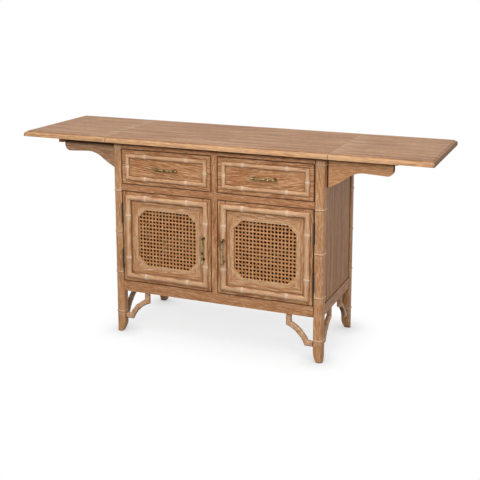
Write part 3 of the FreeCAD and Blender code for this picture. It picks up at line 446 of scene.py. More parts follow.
def seamGlaze(tree):
    # dark wax in the joint between the middle and a leaf, and stain drunk by the end grain
    away = fromMiddle(tree)
    gap = addNode(tree, "ShaderNodeMath", {0: away["X"], 1: topSeam["at"]}, operation="SUBTRACT")[0]
    gap = addNode(tree, "ShaderNodeMath", {0: gap}, operation="ABSOLUTE")[0]
    end, edge = cadBounds[1][0], cadBounds[1][1]
    wax = addNode(
        tree, "ShaderNodeMapRange",
        {"Value": away["Y"], "From Min": edge - topSeam["notch"], "From Max": edge - topSeam["notch"] / 2,
         "To Min": topSeam["lineShare"], "To Max": topSeam["notchShare"]},
    )[0]
    pastEnd = fromMiddle(tree, half=(end, 0, 0))["X"]
    return mostLeft(tree, (gap, topSeam["line"], topSeam["line"] / 3, wax), (pastEnd, *coats["topEnd"]))


def seamWash(tree):
    # wash rubbed out of the joint on to the leaf, along the grain
    gap = fromMiddle(tree, half=(topSeam["at"], 0, 0))["X"]
    streaks = patchyWash(tree, topSeam["hazeStreak"], 0.0, topSeam["hazeShare"])
    haze = mostLeft(tree, (gap, topSeam["haze"], 0.0, streaks))
    leafSide = addNode(tree, "ShaderNodeMath", {0: gap, 1: 0.0}, operation="GREATER_THAN")[0]
    return addNode(tree, "ShaderNodeMath", {0: haze, 1: leafSide}, operation="MULTIPLY")[0]


def wornHighlightEdges(tree):
    # streaks along the moulded front and back edges, where hands and cloths have rubbed; they also carry a
    # painted highlight
    past = fromMiddle(tree, half=(0, cadBounds[1][1], 0))["Y"]
    streaks = patchyWash(tree, topSeam["streak"], topSeam["wornLeast"], topSeam["wornMost"])
    return mostLeft(tree, (past, -topSeam["worn"], -topSeam["wornFull"], streaks))


postRings = {
    "first": 0.096, "pitch": 0.19025,   # height of the lowest ring, and from ring to ring
    "ring": 0.0085, "ringFull": 0.0045, "ringLeast": 0.15, "ringMost": 0.52,
    "ringPatch": (0.010, 0.010, 0.010),
    "haze": 0.034, "hazeFull": 0.006, "hazeLeast": 0.0, "hazeMost": 0.42,
    "hazePatch": (0.007, 0.007, 0.020),
}


def ringsUp(tree):
    # wash left on the rings of a post, thinner beside them
    height, half = fromMiddle(tree)["Z"], postRings["pitch"] / 2
    gap = addNode(tree, "ShaderNodeMath", {0: height, 1: postRings["first"]}, operation="SUBTRACT")[0]
    gap = addNode(tree, "ShaderNodeMath", {0: gap, 1: half, 2: -half}, operation="WRAP")[0]
    gap = addNode(tree, "ShaderNodeMath", {0: gap}, operation="ABSOLUTE")[0]
    washes = []
    for kind in ("ring", "haze"):
        patch, least, most = [postRings[kind + end] for end in ("Patch", "Least", "Most")]
        washes.append((gap, postRings[kind], postRings[kind + "Full"], patchyWash(tree, patch, least, most)))
    return mostLeft(tree, *washes)


caneBorder = {
    "wide": 0.0050, "fade": 0.0070,   # full this far past the bead, then running out
    "chamfer": 0.042,                 # of the opening's corners
    "stroke": (0.0036, 0.0036, 0.0036), "least": 0.10, "most": 0.58,
}


def pastOctagon(tree, wide, high, chamfer):
    # how far a place lies outside an oblong with its corners cut off; wide and high count from its sides
    slant = addNode(tree, "ShaderNodeMath", {0: wide, 1: high}, operation="ADD")[0]
    slant = addNode(tree, "ShaderNodeMath", {0: slant, 1: chamfer}, operation="ADD")[0]
    slant = addNode(tree, "ShaderNodeMath", {0: slant, 1: math.sqrt(0.5)}, operation="MULTIPLY")[0]
    past = addNode(tree, "ShaderNodeMath", {0: wide, 1: high}, operation="MAXIMUM")[0]
    return addNode(tree, "ShaderNodeMath", {0: past, 1: slant}, operation="MAXIMUM")[0]


def besideCane(middle, half):
    # wash left on the panel round the eight-sided opening, in short strokes
    def limed(tree):
        away = fromMiddle(tree, middle, half)
        past = pastOctagon(tree, away["X"], away["Z"], caneBorder["chamfer"])
        strokes = patchyWash(tree, caneBorder["stroke"], caneBorder["least"], caneBorder["most"])
        return mostLeft(tree, (past, caneBorder["wide"] + caneBorder["fade"], caneBorder["wide"], strokes))
    return limed


fretPatch = {"size": (0.014, 0.014, 0.014), "most": 0.55}


def fretWash(tree):
    return patchyWash(tree, fretPatch["size"], 0.0, fretPatch["most"])


def fretUnderShade(tree):
    # painted shade on the undersides of the bars
    facing = addNode(tree, "ShaderNodeNewGeometry")["Normal"]
    up = addNode(tree, "ShaderNodeSeparateXYZ", {0: facing})["Z"]
    return mostLeft(tree, (up, *coats["under"]))


# aged brass, cast and lacquered, then worn: gold and dull brown in patches, brown in the joints between the
# beads
brassLook = {
    "bright": "AC966A", "dull": "4E4229", "dark": "241D10",
    "patch": 0.014, "patchEdge": (0.42, 0.58), "roughDull": 0.48, "roughBright": 0.28,
    "dirtReach": 0.005, "dirt": (0.85, 0.45, 0.9),   # by how open a corner is: begins, is full, and its share
}


def makeBrass():
    material, tree = newMaterial("agedBrass")
    place = addNode(tree, "ShaderNodeTexCoord")["Object"]
    scale = 1 / brassLook["patch"]
    patch = addNode(tree, "ShaderNodeTexNoise", {"Vector": place, "Scale": scale, "Detail": 2.0})["Fac"]
    colours = list(zip(brassLook["patchEdge"], (brassLook["dull"], brassLook["bright"])))
    metal = addNode(tree, "ShaderNodeValToRGB", {"Fac": patch}, stops=colours)["Color"]
    near = addNode(tree, "ShaderNodeAmbientOcclusion", {"Distance": brassLook["dirtReach"]}, samples=6)["AO"]
    dirt = mostLeft(tree, (near, *brassLook["dirt"]))
    dark = linear(brassLook["dark"])
    colour = addNode(tree, "ShaderNodeMix", {0: dirt, 6: metal, 7: dark}, data_type="RGBA")[2]
    dull, bright = brassLook["roughDull"], brassLook["roughBright"]
    rough = addNode(tree, "ShaderNodeMapRange", {"Value": patch, "To Min": dull, "To Max": bright})[0]
    return endMaterial(material, {"Base Color": colour, "Roughness": rough, "Metallic": 1.0})


# hinge metals: rolled sheet with a cloudy satin finish. The black iron is lacquered, so it shines like paint
ironLook = {
    "dark": "0E0D0D", "light": "2A2724", "metallic": 0.0, "roughness": 0.45, "roughVary": 0.1,
    "cloud": 0.008, "cloudEdge": (0.35, 0.75), "bump": 0.15, "bumpDeep": 0.0003,
}
steelLook = dict(ironLook, dark="7E7C78", light="A3A19C", metallic=1.0, roughness=0.38)


def makeHingeMetal(name, look):
    material, tree = newMaterial(name)
    place = addNode(tree, "ShaderNodeTexCoord")["Object"]
    scale = 1 / look["cloud"]
    cloud = addNode(tree, "ShaderNodeTexNoise", {"Vector": place, "Scale": scale, "Detail": 3.0})["Fac"]
    colours = list(zip(look["cloudEdge"], (look["dark"], look["light"])))
    tone = addNode(tree, "ShaderNodeValToRGB", {"Fac": cloud}, stops=colours)["Color"]
    low, high = look["roughness"] - look["roughVary"], look["roughness"] + look["roughVary"]
    rough = addNode(tree, "ShaderNodeMapRange", {"Value": cloud, "To Min": low, "To Max": high})[0]
    bump = addNode(
        tree, "ShaderNodeBump", {"Height": cloud, "Strength": look["bump"], "Distance": look["bumpDeep"]}
    )[0]
    return endMaterial(
        material, {"Base Color": tone, "Roughness": rough, "Metallic": look["metallic"], "Normal": bump}
    )


def dress(node, material):
    for slot in nodes[node].material_slots:
        slot.material = material


# by the end of a board's name, the first that fits: the grain where it does not run along X, and the look
# where it is not its slot's
grainAxis = {
    "post": "z", "stile": "z", "side_panel": "z", "back_panel": "z", "spandrels": "z", "hinge_strips": "z",
    "side_rail": "y", "side_top_rails": "y", "drawer_runners": "y", "drawer_box": "y",
}
boardLooks = {
    "back_panel": backStock, "side_panel": oakSide,
    # the brackets and the left side's frets take painted light and shade, as lit and shaded copies of the
    # posts' oak
    "left_bracket": oakBracketDark, "right_bracket": oakBracket,
    "left_side_spandrels": oakBracketDark, "spandrels": oakPost, "post": oakPost,
    "door_panel": oakPanel, "door_frame": oakDoor, "cane_bead": oakBead, "drawer_front": oakDrawer,
    "front_top_rail": oakRail, "front_mid_rail": oakRail, "front_bottom_rail": oakRail,
}
slotLooks = {"oak_frame": oak, "oak_top": oakTop, "oak_panel": oak, "inside_wood": insideStock}
doorStile = 0.042   # width of the stiles and rails of a door


def byEnd(table, name, other):
    return next((table[end] for end in table if name.endswith(end)), other)


def dressFrame():
    metals = {
        "brass": makeBrass(),
        "black_iron": makeHingeMetal("blackenedIron", ironLook),
        "steel": makeHingeMetal("zincPlatedSteel", steelLook),
    }
    slots = {part["node"]: part["material_slot"] for part in frame["record"]["subparts"]}
    lowest, highest = topShadow["between"]
    for seed, name in enumerate(sorted(nodes)):
        slot = slots[name]
        if slot in metals:
            dress(name, metals[slot])
        if slot not in slotLooks:
            continue
        look = byEnd(boardLooks, name, slotLooks[slot])
        grain = alongAxis(byEnd(grainAxis, name, "x"))
        low, high = (Vector(corner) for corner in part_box(name))
        middle, reach = (low + high) / 2, (high - low) / 2
        limed = outlined = worn = None
        if slot == "oak_frame" and lowest < high.z < highest:
            setBack = min(low.y - cadBounds[0][1], cadBounds[1][1] - high.y)
            end = max(abs(low.x), abs(high.x)) if name.endswith("bracket") else None
            outlined = shadowUnderTop(setBack, topShadow["depths"].get(name, topShadow["depth"]), end)
        if slot == "oak_top":
            limed, outlined, worn = seamWash, seamGlaze, wornHighlightEdges
        elif name.endswith("post"):
            limed = ringsUp
        elif name.endswith("spandrels"):
            limed, outlined = fretWash, fretUnderShade
        elif name.endswith("side_panel"):
            outlined = darkenedInside(min(abs(low.x), abs(high.x)))
        elif name.endswith("door_frame"):
            grain = alongFrame(middle, reach - Vector((doorStile, 0, doorStile)), False)
        elif name.endswith(("door_panel", "cane_bead")):
            grain = alongFrame(middle, reach, True)
        if name.endswith("door_panel"):
            opening = [Vector(corner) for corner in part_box(name.replace("door_panel", "cane_bead"))]
            limed = besideCane(middle, (opening[1] - opening[0]) / 2)
        if name.endswith(("door_frame", "drawer_front")):
            outlined = roundOutline(middle, reach)
        stock = "darkPlywood_" if slot == "inside_wood" else "limedOak_"
        dress(name, finishOak(stock + name, grain, seed, look, limed, outlined, worn))
    print("materials on the frame")


dressFrame()

# half-round bamboo mouldings, turned in oak: mitred sticks with a ring at each node
bamboo = {
    "nodeProud": 0.14,     # shares of the stick's half width
    "waist": 0.06,
    "nodeReach": 0.0042,   # from the middle of a ring to where it has run out
    "waistReach": 0.034,
    "alongStep": 0.0020,
    "around": 13,
    "welded": 0.0001,              # points closer than this become one
    "sharp": math.radians(32),     # edges that turn more than this stay crisp
}
stickApart = (1.37, 0.11, 0.0)   # from the wood of one stick to that of the next
bambooSeed = 7
bambooSpread = {"door": 1.40, "drawer": 1.20}   # breadth over twice the height


def growStick(tree, sizes, length, cross, nodeAt, tag):
    # one half-round stick along X with its outer side towards +Y, swollen at its nodes and cut to the mitres
    end = addNode(tree, "ShaderNodeMath", {0: length, 1: 0.5}, operation="MULTIPLY")[0]
    half = addNode(tree, "ShaderNodeMath", {0: sizes["stick"], 1: 0.5}, operation="MULTIPLY")[0]
    far = addNode(tree, "ShaderNodeCombineXYZ", {"X": end})[0]
    near = addNode(tree, "ShaderNodeVectorMath", {0: far, "Scale": -1.0}, operation="SCALE")[0]
    path = addNode(tree, "GeometryNodeCurvePrimitiveLine", {"Start": near, "End": far})[0]
    path = addNode(
        tree, "GeometryNodeResampleCurve", {"Curve": path, "Length": sizes["alongStep"]}, mode="LENGTH"
    )[0]
    path = addNode(tree, "GeometryNodeSetCurveNormal", {"Curve": path}, mode="Z_UP")[0]
    place = addNode(tree, "GeometryNodeInputPosition")[0]
    at = addNode(tree, "ShaderNodeSeparateXYZ", {0: place})
    gap = addNode(tree, "ShaderNodeMath", {0: at["X"]}, operation="ABSOLUTE")[0]
    gap = addNode(tree, "ShaderNodeMath", {0: gap, 1: nodeAt}, operation="SUBTRACT")[0]
    gap = addNode(tree, "ShaderNodeMath", {0: gap}, operation="ABSOLUTE")[0]
    ring = addNode(
        tree, "ShaderNodeMapRange",
        {"Value": gap, "From Max": sizes["nodeReach"], "To Min": sizes["nodeProud"], "To Max": 0.0},
        interpolation_type="SMOOTHSTEP",
    )[0]
    thin = addNode(
        tree, "ShaderNodeMapRange", {"Value": gap, "From Max": sizes["waistReach"], "To Max": sizes["waist"]},
        interpolation_type="SMOOTHSTEP",
    )[0]
    swell = addNode(tree, "ShaderNodeMath", {0: ring, 1: thin}, operation="SUBTRACT")[0]
    swell = addNode(tree, "ShaderNodeMath", {0: swell, 1: 1.0}, operation="ADD")[0]
    section = addNode(
        tree, "GeometryNodeCurveArc",
        {"Resolution": sizes["around"], "Radius": half, "Start Angle": math.pi, "Sweep Angle": math.pi,
         "Connect Center": True},
        mode="RADIUS",
    )["Curve"]
    stick = addNode(
        tree, "GeometryNodeCurveToMesh", {"Curve": path, "Profile Curve": section, "Scale": swell}
    )[0]
    apart = tuple(tag * distance for distance in stickApart)
    moved = addNode(tree, "ShaderNodeVectorMath", {0: place, 1: apart}, operation="ADD")[0]
    for name, value, kind in (("grainPlace", moved, "FLOAT_VECTOR"), ("nodeGap", gap, "FLOAT")):
        stick = addNode(
            tree, "GeometryNodeStoreNamedAttribute", {"Geometry": stick, "Name": name, "Value": value},
            data_type=kind, domain="POINT",
        )[0]
    # flattened: broader than it is high
    inset = addNode(tree, "ShaderNodeMath", {0: at["Y"], 1: half}, operation="SUBTRACT")[0]
    inset = addNode(tree, "ShaderNodeMath", {0: inset, 1: sizes["spread"]}, operation="MULTIPLY")[0]
    limit = addNode(tree, "ShaderNodeMath", {0: end, 1: inset}, operation="ADD")[0]
    low = addNode(tree, "ShaderNodeMath", {0: limit, 1: -1.0}, operation="MULTIPLY")[0]
    run = addNode(tree, "ShaderNodeClamp", {"Value": at["X"], "Min": low, "Max": limit})[0]
    out = addNode(tree, "ShaderNodeMath", {0: cross, 1: 0.5, 2: inset}, operation="MULTIPLY_ADD")[0]
    mitred = addNode(tree, "ShaderNodeCombineXYZ", {"X": run, "Y": out, "Z": at["Z"]})[0]
    return addNode(tree, "GeometryNodeSetPosition", {"Geometry": stick, "Position": mitred})[0]


def makeMouldings():
    finish = finishOak("limedOak_mouldings", alongStick, bambooSeed, oakStick, nodeRingsAndCrestHighlight, stickFootShade)
    # the sizes that differ from piece to piece are set below
    sizes = dict(
        bamboo, width=0.4, height=0.4, stick=0.02, spread=1.0, nodeAcross=0.1, nodeUpright=0.1,
        place=(0.0, 0.0, 0.0), finish=finish,
    )
    tree, given = newTree("bambooMoulding", sizes)
    sticks = []
    for tag, turn in enumerate((0, 180, -90, 90)):
        across = turn in (0, 180)
        length, cross = (given["width"], given["height"]) if across else (given["height"], given["width"])
        stick = growStick(tree, given, length, cross, given["nodeAcross" if across else "nodeUpright"], tag)
        turned = (0, 0, math.radians(turn))
        sticks.append(addNode(tree, "GeometryNodeTransform", {"Geometry": stick, "Rotation": turned})[0])
    joined = addNode(tree, "GeometryNodeJoinGeometry", {0: sticks})[0]
    merged = addNode(
        tree, "GeometryNodeMergeByDistance", {"Geometry": joined, "Distance": given["welded"]}
    )[0]
    smooth = addNode(tree, "GeometryNodeSetShadeSmooth", {"Geometry": merged, "Shade Smooth": True})[0]
    angle = addNode(tree, "GeometryNodeInputMeshEdgeAngle")["Unsigned Angle"]
    sharp = addNode(tree, "FunctionNodeCompare", {0: angle, 1: given["sharp"]}, operation="GREATER_THAN")[0]
    crisp = addNode(
        tree, "GeometryNodeSetShadeSmooth", {"Geometry": smooth, "Selection": sharp, "Shade Smooth": False},
        domain="EDGE",
    )[0]
    endTree(tree, crisp, given)
    for side in ("left", "right"):
        for kind in ("door", "drawer"):
            node = f"{side}_{kind}_moulding"
            low, high = (Vector(corner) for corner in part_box(node))
            middle = (low + high) / 2
            # the solid's rings stand proud of the sticks on every side
            proud = (high.y - low.y) * bamboo["nodeProud"] / (1 + bamboo["nodeProud"])
            sizes["stick"] = 2 * (high.y - low.y - proud)
            sizes["spread"] = bambooSpread[kind]
            # the breadth that is added goes outward
            more = 2 * sizes["stick"] * (sizes["spread"] - 1) - 2 * proud
            sizes["width"], sizes["height"] = high.x - low.x + more, high.z - low.z + more
            sizes["nodeAcross"] = sizes["width"] / 4
            sizes["nodeUpright"] = sizes["height"] / 4 if kind == "door" else 0.0
            sizes["place"] = (middle.x, high.y, middle.z)
            growPiece(f"{side}_{kind}_bamboo", tree, sizes, f"{side}_{kind}", node)


makeMouldings()

# blocks under the leaves that stop the brackets, with eased edges
stopBlock = {
    "wide": 0.028, "leftTall": 0.026, "rightTall": 0.014, "eased": 0.0022, "steps": 2,
    "slack": 0.001,   # an edge lower than the top by more than this is eased
}


def makeStops():
    low, high = (Vector(corner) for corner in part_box("leaf_stop_blocks"))
    wide, eased = stopBlock["wide"], stopBlock["eased"]
    blocks = [(low.x + wide / 2, stopBlock["leftTall"]), (high.x - wide / 2, stopBlock["rightTall"])]
    shape = bmesh.new()
    for across, tall in blocks:
        middle = Matrix.Translation((across, (low.y + high.y) / 2, high.z - tall / 2))
        bmesh.ops.create_cube(shape, size=1, matrix=middle @ Matrix.Diagonal((wide, high.y - low.y, tall, 1)))
    below = [edge for edge in shape.edges if min(v.co.z for v in edge.verts) < high.z - stopBlock["slack"]]
    bmesh.ops.bevel(shape, geom=below, offset=eased, segments=stopBlock["steps"], affect="EDGES", profile=0.5)
    mesh = bpy.data.meshes.new("leaf_stops")
    shape.to_mesh(mesh)
    shape.free()
    mesh.materials.append(nodes["leaf_stop_blocks"].material_slots[0].material)
    piece = bpy.data.objects.new("leaf_stops", mesh)
    bpy.context.scene.collection.objects.link(piece)
    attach(piece, "case")
    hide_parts("leaf_stop_blocks")
    print("leaf_stops made:", len(mesh.polygons), "faces")


makeStops()

# split-cane webbing: pairs of strands both ways and a diagonal each way, woven over and under
cane = {
    "pitch": 0.0165,     # hole to hole, both ways
    "strand": 0.0020,    # width of one strand
    "slip": 0.0002,      # gap between the two strands of a pair
    "thick": 0.0007,
    "rise": 0.00045,     # how far a strand lifts over its neighbour
    "alongStep": 0.00275,
    "heldBack": 0.0025,  # how far short of the opening a strand ends, under the bead
    "lines": 37,
    "chamfer": caneBorder["chamfer"],
    "shortest": 0.008,   # scraps under this are left out
}
# the strands' glossy bark side: straw gold with a fine fibre and each strand its own tone
caneLook = {
    "pale": "F8BE86", "body": "E0A065", "dark": "AC6C36",
    "fibre": 0.0011,       # fibres are 0.2 mm; drawn coarser so that they show
    "tintShare": 0.5, "toneStops": (0.40, 0.72, 1.0),
    # painted shade where the strands cross and lie close
    "dirtReach": 0.004, "dirt": (0.50, 0.15, 0.4),
    "roughness": 0.42, "bump": 0.2, "bumpDeep": 0.0002,
}


def makeCaneFinish():
    material, tree = newMaterial("splitCane")
    tint = addNode(tree, "ShaderNodeAttribute", attribute_name="strandTint")["Fac"]
    place = addNode(tree, "ShaderNodeTexCoord")["Object"]
    scale = 1 / caneLook["fibre"]
    fibre = addNode(tree, "ShaderNodeTexNoise", {"Vector": place, "Scale": scale, "Detail": 2.0})["Fac"]
    tone = addNode(
        tree, "ShaderNodeMath", {0: tint, 1: caneLook["tintShare"], 2: fibre}, operation="MULTIPLY_ADD"
    )[0]
    colours = list(zip(caneLook["toneStops"], (caneLook["dark"], caneLook["body"], caneLook["pale"])))
    straw = addNode(tree, "ShaderNodeValToRGB", {"Fac": tone}, stops=colours)["Color"]
    # painted shade where the strands cross and lie close
    near = addNode(tree, "ShaderNodeAmbientOcclusion", {"Distance": caneLook["dirtReach"]}, samples=6)["AO"]
    dirt = mostLeft(tree, (near, *caneLook["dirt"]))
    dark = linear(caneLook["dark"])
    colour = addNode(tree, "ShaderNodeMix", {0: dirt, 6: straw, 7: dark}, data_type="RGBA")[2]
    bump = addNode(
        tree, "ShaderNodeBump",
        {"Height": fibre, "Strength": caneLook["bump"], "Distance": caneLook["bumpDeep"]},
    )[0]
    return endMaterial(material, {"Base Color": colour, "Roughness": caneLook["roughness"], "Normal": bump})


def growStrands(tree, sizes, first, pairs, step, run, wave, lift):
    # parallel straight strands; first and step count in pitches, pairs in half pairs, and wave is the
    # direction and phase that the weaving follows
    pair = addNode(tree, "ShaderNodeMath", {0: sizes["strand"], 1: sizes["slip"]}, operation="ADD")[0]
    aside = addNode(tree, "ShaderNodeVectorMath", {0: pairs, "Scale": pair}, operation="SCALE")[0]
    pitch = sizes["pitch"]
    start = addNode(tree, "ShaderNodeVectorMath", {0: first, 1: pitch, 2: aside}, operation="MULTIPLY_ADD")[0]
    offset = addNode(tree, "ShaderNodeVectorMath", {0: step, "Scale": pitch}, operation="SCALE")[0]
    points = addNode(
        tree, "GeometryNodeMeshLine", {"Count": sizes["lines"], "Start Location": start, "Offset": offset}
    )[0]
    line = addNode(tree, "GeometryNodeCurvePrimitiveLine", {"Start": tuple(-r for r in run), "End": run})[0]
    strands = addNode(tree, "GeometryNodeInstanceOnPoints", {"Points": points, "Instance": line})[0]
    for name, value, kind in (("weaveWave", wave, "FLOAT_VECTOR"), ("weaveLift", lift, "FLOAT")):
        strands = addNode(
            tree, "GeometryNodeStoreNamedAttribute", {"Geometry": strands, "Name": name, "Value": value},
            data_type=kind, domain="INSTANCE",
        )[0]
    return strands


def makeCane():
    sizes = dict(cane, halfWidth=0.15, halfHeight=0.135, place=(0.0, 0.0, 0.0), finish=makeCaneFinish())
    tree, given = newTree("caneWeave", sizes)
    far, crest = 0.32, math.pi / 2   # half a strand before it is cut, and a quarter turn of the weave
    families = [
        growStrands(tree, given, *family) for family in (
            ((-17.5, 0, 0), (-0.5, 0, 0), (1, 0, 0), (0, far, 0), (0, 1, crest), 1.0),
            ((-17.5, 0, 0), (0.5, 0, 0), (1, 0, 0), (0, far, 0), (0, 1, crest), -1.0),
            ((0, -18, 0), (0, -0.5, 0), (0, 1, 0), (far, 0, 0), (1, 0, 0), -1.3),
            ((0, -18, 0), (0, 0.5, 0), (0, 1, 0), (far, 0, 0), (1, 0, 0), -1.3),
            ((0, -18, 0), (0, 0, 0), (0, 1, 0), (far, far, 0), (1, 0, crest), -2.2),
            ((0, -18, 0), (0, 0, 0), (0, 1, 0), (far, -far, 0), (1, 0, crest), 2.2),
        )
    ]
    strands = addNode(tree, "GeometryNodeJoinGeometry", {0: families})[0]
    strands = addNode(tree, "GeometryNodeRealizeInstances", {"Geometry": strands})[0]
    strands = addNode(
        tree, "GeometryNodeResampleCurve", {"Curve": strands, "Length": given["alongStep"]}, mode="LENGTH"
    )[0]

    # cut to the eight-sided opening
    place = addNode(tree, "GeometryNodeInputPosition")[0]
    away = addNode(tree, "ShaderNodeVectorMath", {0: place}, operation="ABSOLUTE")[0]
    away = addNode(tree, "ShaderNodeSeparateXYZ", {0: away})
    wide = addNode(tree, "ShaderNodeMath", {0: away["X"], 1: given["halfWidth"]}, operation="SUBTRACT")[0]
    high = addNode(tree, "ShaderNodeMath", {0: away["Y"], 1: given["halfHeight"]}, operation="SUBTRACT")[0]
    past = pastOctagon(tree, wide, high, given["chamfer"])
    past = addNode(tree, "ShaderNodeMath", {0: past, 1: given["heldBack"]}, operation="ADD")[0]
    outside = addNode(tree, "FunctionNodeCompare", {0: past, 1: 0.0}, operation="GREATER_THAN")[0]
    strands = addNode(
        tree, "GeometryNodeDeleteGeometry", {"Geometry": strands, "Selection": outside}, domain="POINT"
    )[0]
    length = addNode(tree, "GeometryNodeSplineLength")["Length"]
    short = addNode(tree, "FunctionNodeCompare", {0: length, 1: given["shortest"]}, operation="LESS_THAN")[0]
    strands = addNode(
        tree, "GeometryNodeDeleteGeometry", {"Geometry": strands, "Selection": short}, domain="CURVE"
    )[0]

    # over and under: a sine along X or Y with the family's phase and lift
    wave, lift = [
        addNode(tree, "GeometryNodeInputNamedAttribute", {"Name": name}, data_type=kind)[0]
        for name, kind in (("weaveWave", "FLOAT_VECTOR"), ("weaveLift", "FLOAT"))
    ]
    phase = addNode(tree, "ShaderNodeSeparateXYZ", {0: wave})["Z"]
    along = addNode(tree, "ShaderNodeVectorMath", {0: wave, 1: place}, operation="DOT_PRODUCT")["Value"]
    turns = addNode(tree, "ShaderNodeMath", {0: along, 1: given["pitch"]}, operation="DIVIDE")[0]
    turns = addNode(tree, "ShaderNodeMath", {0: turns, 1: 2 * math.pi, 2: phase}, operation="MULTIPLY_ADD")[0]
    height = addNode(tree, "ShaderNodeMath", {0: turns}, operation="SINE")[0]
    height = addNode(tree, "ShaderNodeMath", {0: height, 1: lift}, operation="MULTIPLY")[0]
    height = addNode(tree, "ShaderNodeMath", {0: height, 1: given["rise"]}, operation="MULTIPLY")[0]
    raised = addNode(tree, "ShaderNodeCombineXYZ", {"Z": height})[0]
    strands = addNode(tree, "GeometryNodeSetPosition", {"Geometry": strands, "Offset": raised})[0]
    index = addNode(tree, "GeometryNodeInputIndex")[0]
    tint = addNode(tree, "FunctionNodeRandomValue", {"ID": index, "Seed": 11}, data_type="FLOAT")[1]
    strands = addNode(
        tree, "GeometryNodeStoreNamedAttribute", {"Geometry": strands, "Name": "strandTint", "Value": tint},
        data_type="FLOAT", domain="CURVE",
    )[0]

    strands = addNode(tree, "GeometryNodeSetCurveNormal", {"Curve": strands}, mode="Z_UP")[0]
    ring = addNode(tree, "GeometryNodeCurvePrimitiveCircle", {"Resolution": 4, "Radius": 0.5})[0]
    flat = addNode(tree, "ShaderNodeCombineXYZ", {"X": given["strand"], "Y": given["thick"], "Z": 1.0})[0]
    section = addNode(tree, "GeometryNodeTransform", {"Geometry": ring, "Scale": flat})[0]
    ribbons = addNode(
        tree, "GeometryNodeCurveToMesh", {"Curve": strands, "Profile Curve": section, "Fill Caps": True}
    )[0]
    ribbons = addNode(tree, "GeometryNodeSetShadeSmooth", {"Geometry": ribbons, "Shade Smooth": True})[0]
    endTree(tree, ribbons, given)
    for side in ("left", "right"):
        low, high = (Vector(corner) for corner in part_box(f"{side}_cane"))
        sizes["halfWidth"], sizes["halfHeight"] = (high.x - low.x) / 2, (high.z - low.z) / 2
        sizes["place"] = tuple((low + high) / 2)
        growPiece(f"{side}_cane_weave", tree, sizes, f"{side}_door", f"{side}_cane")
        dress(f"{side}_cane", sizes["finish"])


makeCane()

# studio: a paper floor that fades to white, a white surround and five soft boxes
studio = {
    "ambient": 0.18,
    "aim": (0, 0, 0.5),
    "softboxes": {   # power in watts, size and place
        "front": (222.0, 3.0, (1.0, -6.0, 2.9)),
        "top": (70.0, 2.6, (0.3, -1.8, 3.9)),
        "side": (25.0, 2.0, (3.6, -2.6, 1.6)),
        "back": (50.0, 2.4, (2.8, 4.0, 1.3)),
        "left": (45.0, 2.4, (-4.2, 1.6, 1.2)),
    },
    "floorHalf": 9.0,
    "floorBounce": "464646",                    # what the floor throws back up; it is seen as white paper
    "whiteShare": 0.75, "shadeHalf": (0.46, 0.20, 0.0), "shadeFade": 0.20,
    "footShade": 0.09, "footDark": 0.70, "footOpen": 0.5,
}


def seenDirectly(tree):
    # 1 for camera, mirror and glass rays, so that they find a white surround
    path = addNode(tree, "ShaderNodeLightPath")
    seen = path["Is Camera Ray"]
    for kind in ("Is Glossy Ray", "Is Transmission Ray"):
        seen = addNode(tree, "ShaderNodeMath", {0: seen, 1: path[kind]}, operation="MAXIMUM")[0]
    return seen


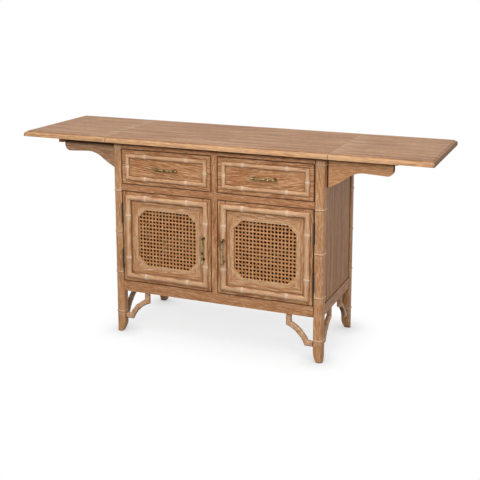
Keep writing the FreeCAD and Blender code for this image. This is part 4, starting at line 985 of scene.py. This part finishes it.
def makeStudio():
    world = bpy.data.worlds.new("studio")
    bpy.context.scene.world = world
    world.use_nodes = True
    tree = world.node_tree
    tree.nodes.clear()
    strength = addNode(
        tree, "ShaderNodeMapRange", {"Value": seenDirectly(tree), "To Min": studio["ambient"], "To Max": 1.0}
    )[0]
    sky = addNode(tree, "ShaderNodeBackground", {"Color": linear("FFFFFF"), "Strength": strength})[0]
    addNode(tree, "ShaderNodeOutputWorld", {"Surface": sky})

    # matt white paper: shaded under the part, white further out
    material, tree = newMaterial("paperSweep")
    place = addNode(tree, "ShaderNodeTexCoord")["Object"]
    away = addNode(tree, "ShaderNodeVectorMath", {0: place}, operation="ABSOLUTE")[0]
    away = addNode(tree, "ShaderNodeVectorMath", {0: away, 1: studio["shadeHalf"]}, operation="SUBTRACT")[0]
    away = addNode(tree, "ShaderNodeVectorMath", {0: away, 1: (0, 0, 0)}, operation="MAXIMUM")[0]
    reach = addNode(tree, "ShaderNodeVectorMath", {0: away}, operation="LENGTH")["Value"]
    fade = addNode(
        tree, "ShaderNodeMapRange",
        {"Value": reach, "From Max": studio["shadeFade"], "To Min": studio["whiteShare"]},
        interpolation_type="SMOOTHSTEP",
    )[0]
    seen = seenDirectly(tree)
    share = addNode(tree, "ShaderNodeMath", {0: fade, 1: seen}, operation="MULTIPLY")[0]
    bounce = addNode(
        tree, "ShaderNodeMix", {0: seen, 6: linear(studio["floorBounce"]), 7: linear("FFFFFF")},
        data_type="RGBA",
    )[2]
    paper = addNode(tree, "ShaderNodeBsdfDiffuse", {"Color": bounce})[0]
    # painted contact shadow: darker close to the feet
    near = addNode(tree, "ShaderNodeAmbientOcclusion", {"Distance": studio["footShade"]}, samples=8)["AO"]
    lit = addNode(
        tree, "ShaderNodeMapRange",
        {"Value": near, "From Min": studio["footOpen"], "To Min": studio["footDark"]},
    )[0]
    white = addNode(tree, "ShaderNodeEmission", {"Color": linear("FFFFFF"), "Strength": lit})[0]
    both = addNode(tree, "ShaderNodeMixShader", {0: share, 1: paper, 2: white})[0]
    addNode(tree, "ShaderNodeOutputMaterial", {"Surface": both})
    mesh = bpy.data.meshes.new("floor")
    half = studio["floorHalf"]
    corners = [(-half, -half, 0), (half, -half, 0), (half, half, 0), (-half, half, 0)]
    mesh.from_pydata(corners, [], [(0, 1, 2, 3)])
    mesh.materials.append(material)
    floor = bpy.data.objects.new("floor", mesh)
    bpy.context.scene.collection.objects.link(floor)

    for name, (power, size, at) in studio["softboxes"].items():
        lamp = bpy.data.lights.new(name + "Softbox", "AREA")
        lamp.energy, lamp.size = power, size
        box = bpy.data.objects.new(name + "Softbox", lamp)
        box.location = at
        box.rotation_euler = (Vector(studio["aim"]) - box.location).to_track_quat("-Z", "Y").to_euler()
        bpy.context.scene.collection.objects.link(box)
    print("studio set")


makeStudio()

photoView = {
    "at": (1.581168, -3.764810, 1.619432),
    "down": 10.352, "turn": 22.413,
    "lens": 69.197, "sensor": 36.0, "shift": (-0.001556, -0.2),
}


def setCamera():
    lens = bpy.data.cameras.new("photoView")
    lens.lens, lens.sensor_width = photoView["lens"], photoView["sensor"]
    lens.shift_x, lens.shift_y = photoView["shift"]
    camera = bpy.data.objects.new("photoView", lens)
    camera.location = photoView["at"]
    camera.rotation_euler = (math.radians(90 - photoView["down"]), 0, math.radians(photoView["turn"]))
    bpy.context.scene.collection.objects.link(camera)
    bpy.context.scene.camera = camera
    bpy.context.scene.view_settings.view_transform = "Standard"
    print("camera set")


setCamera()
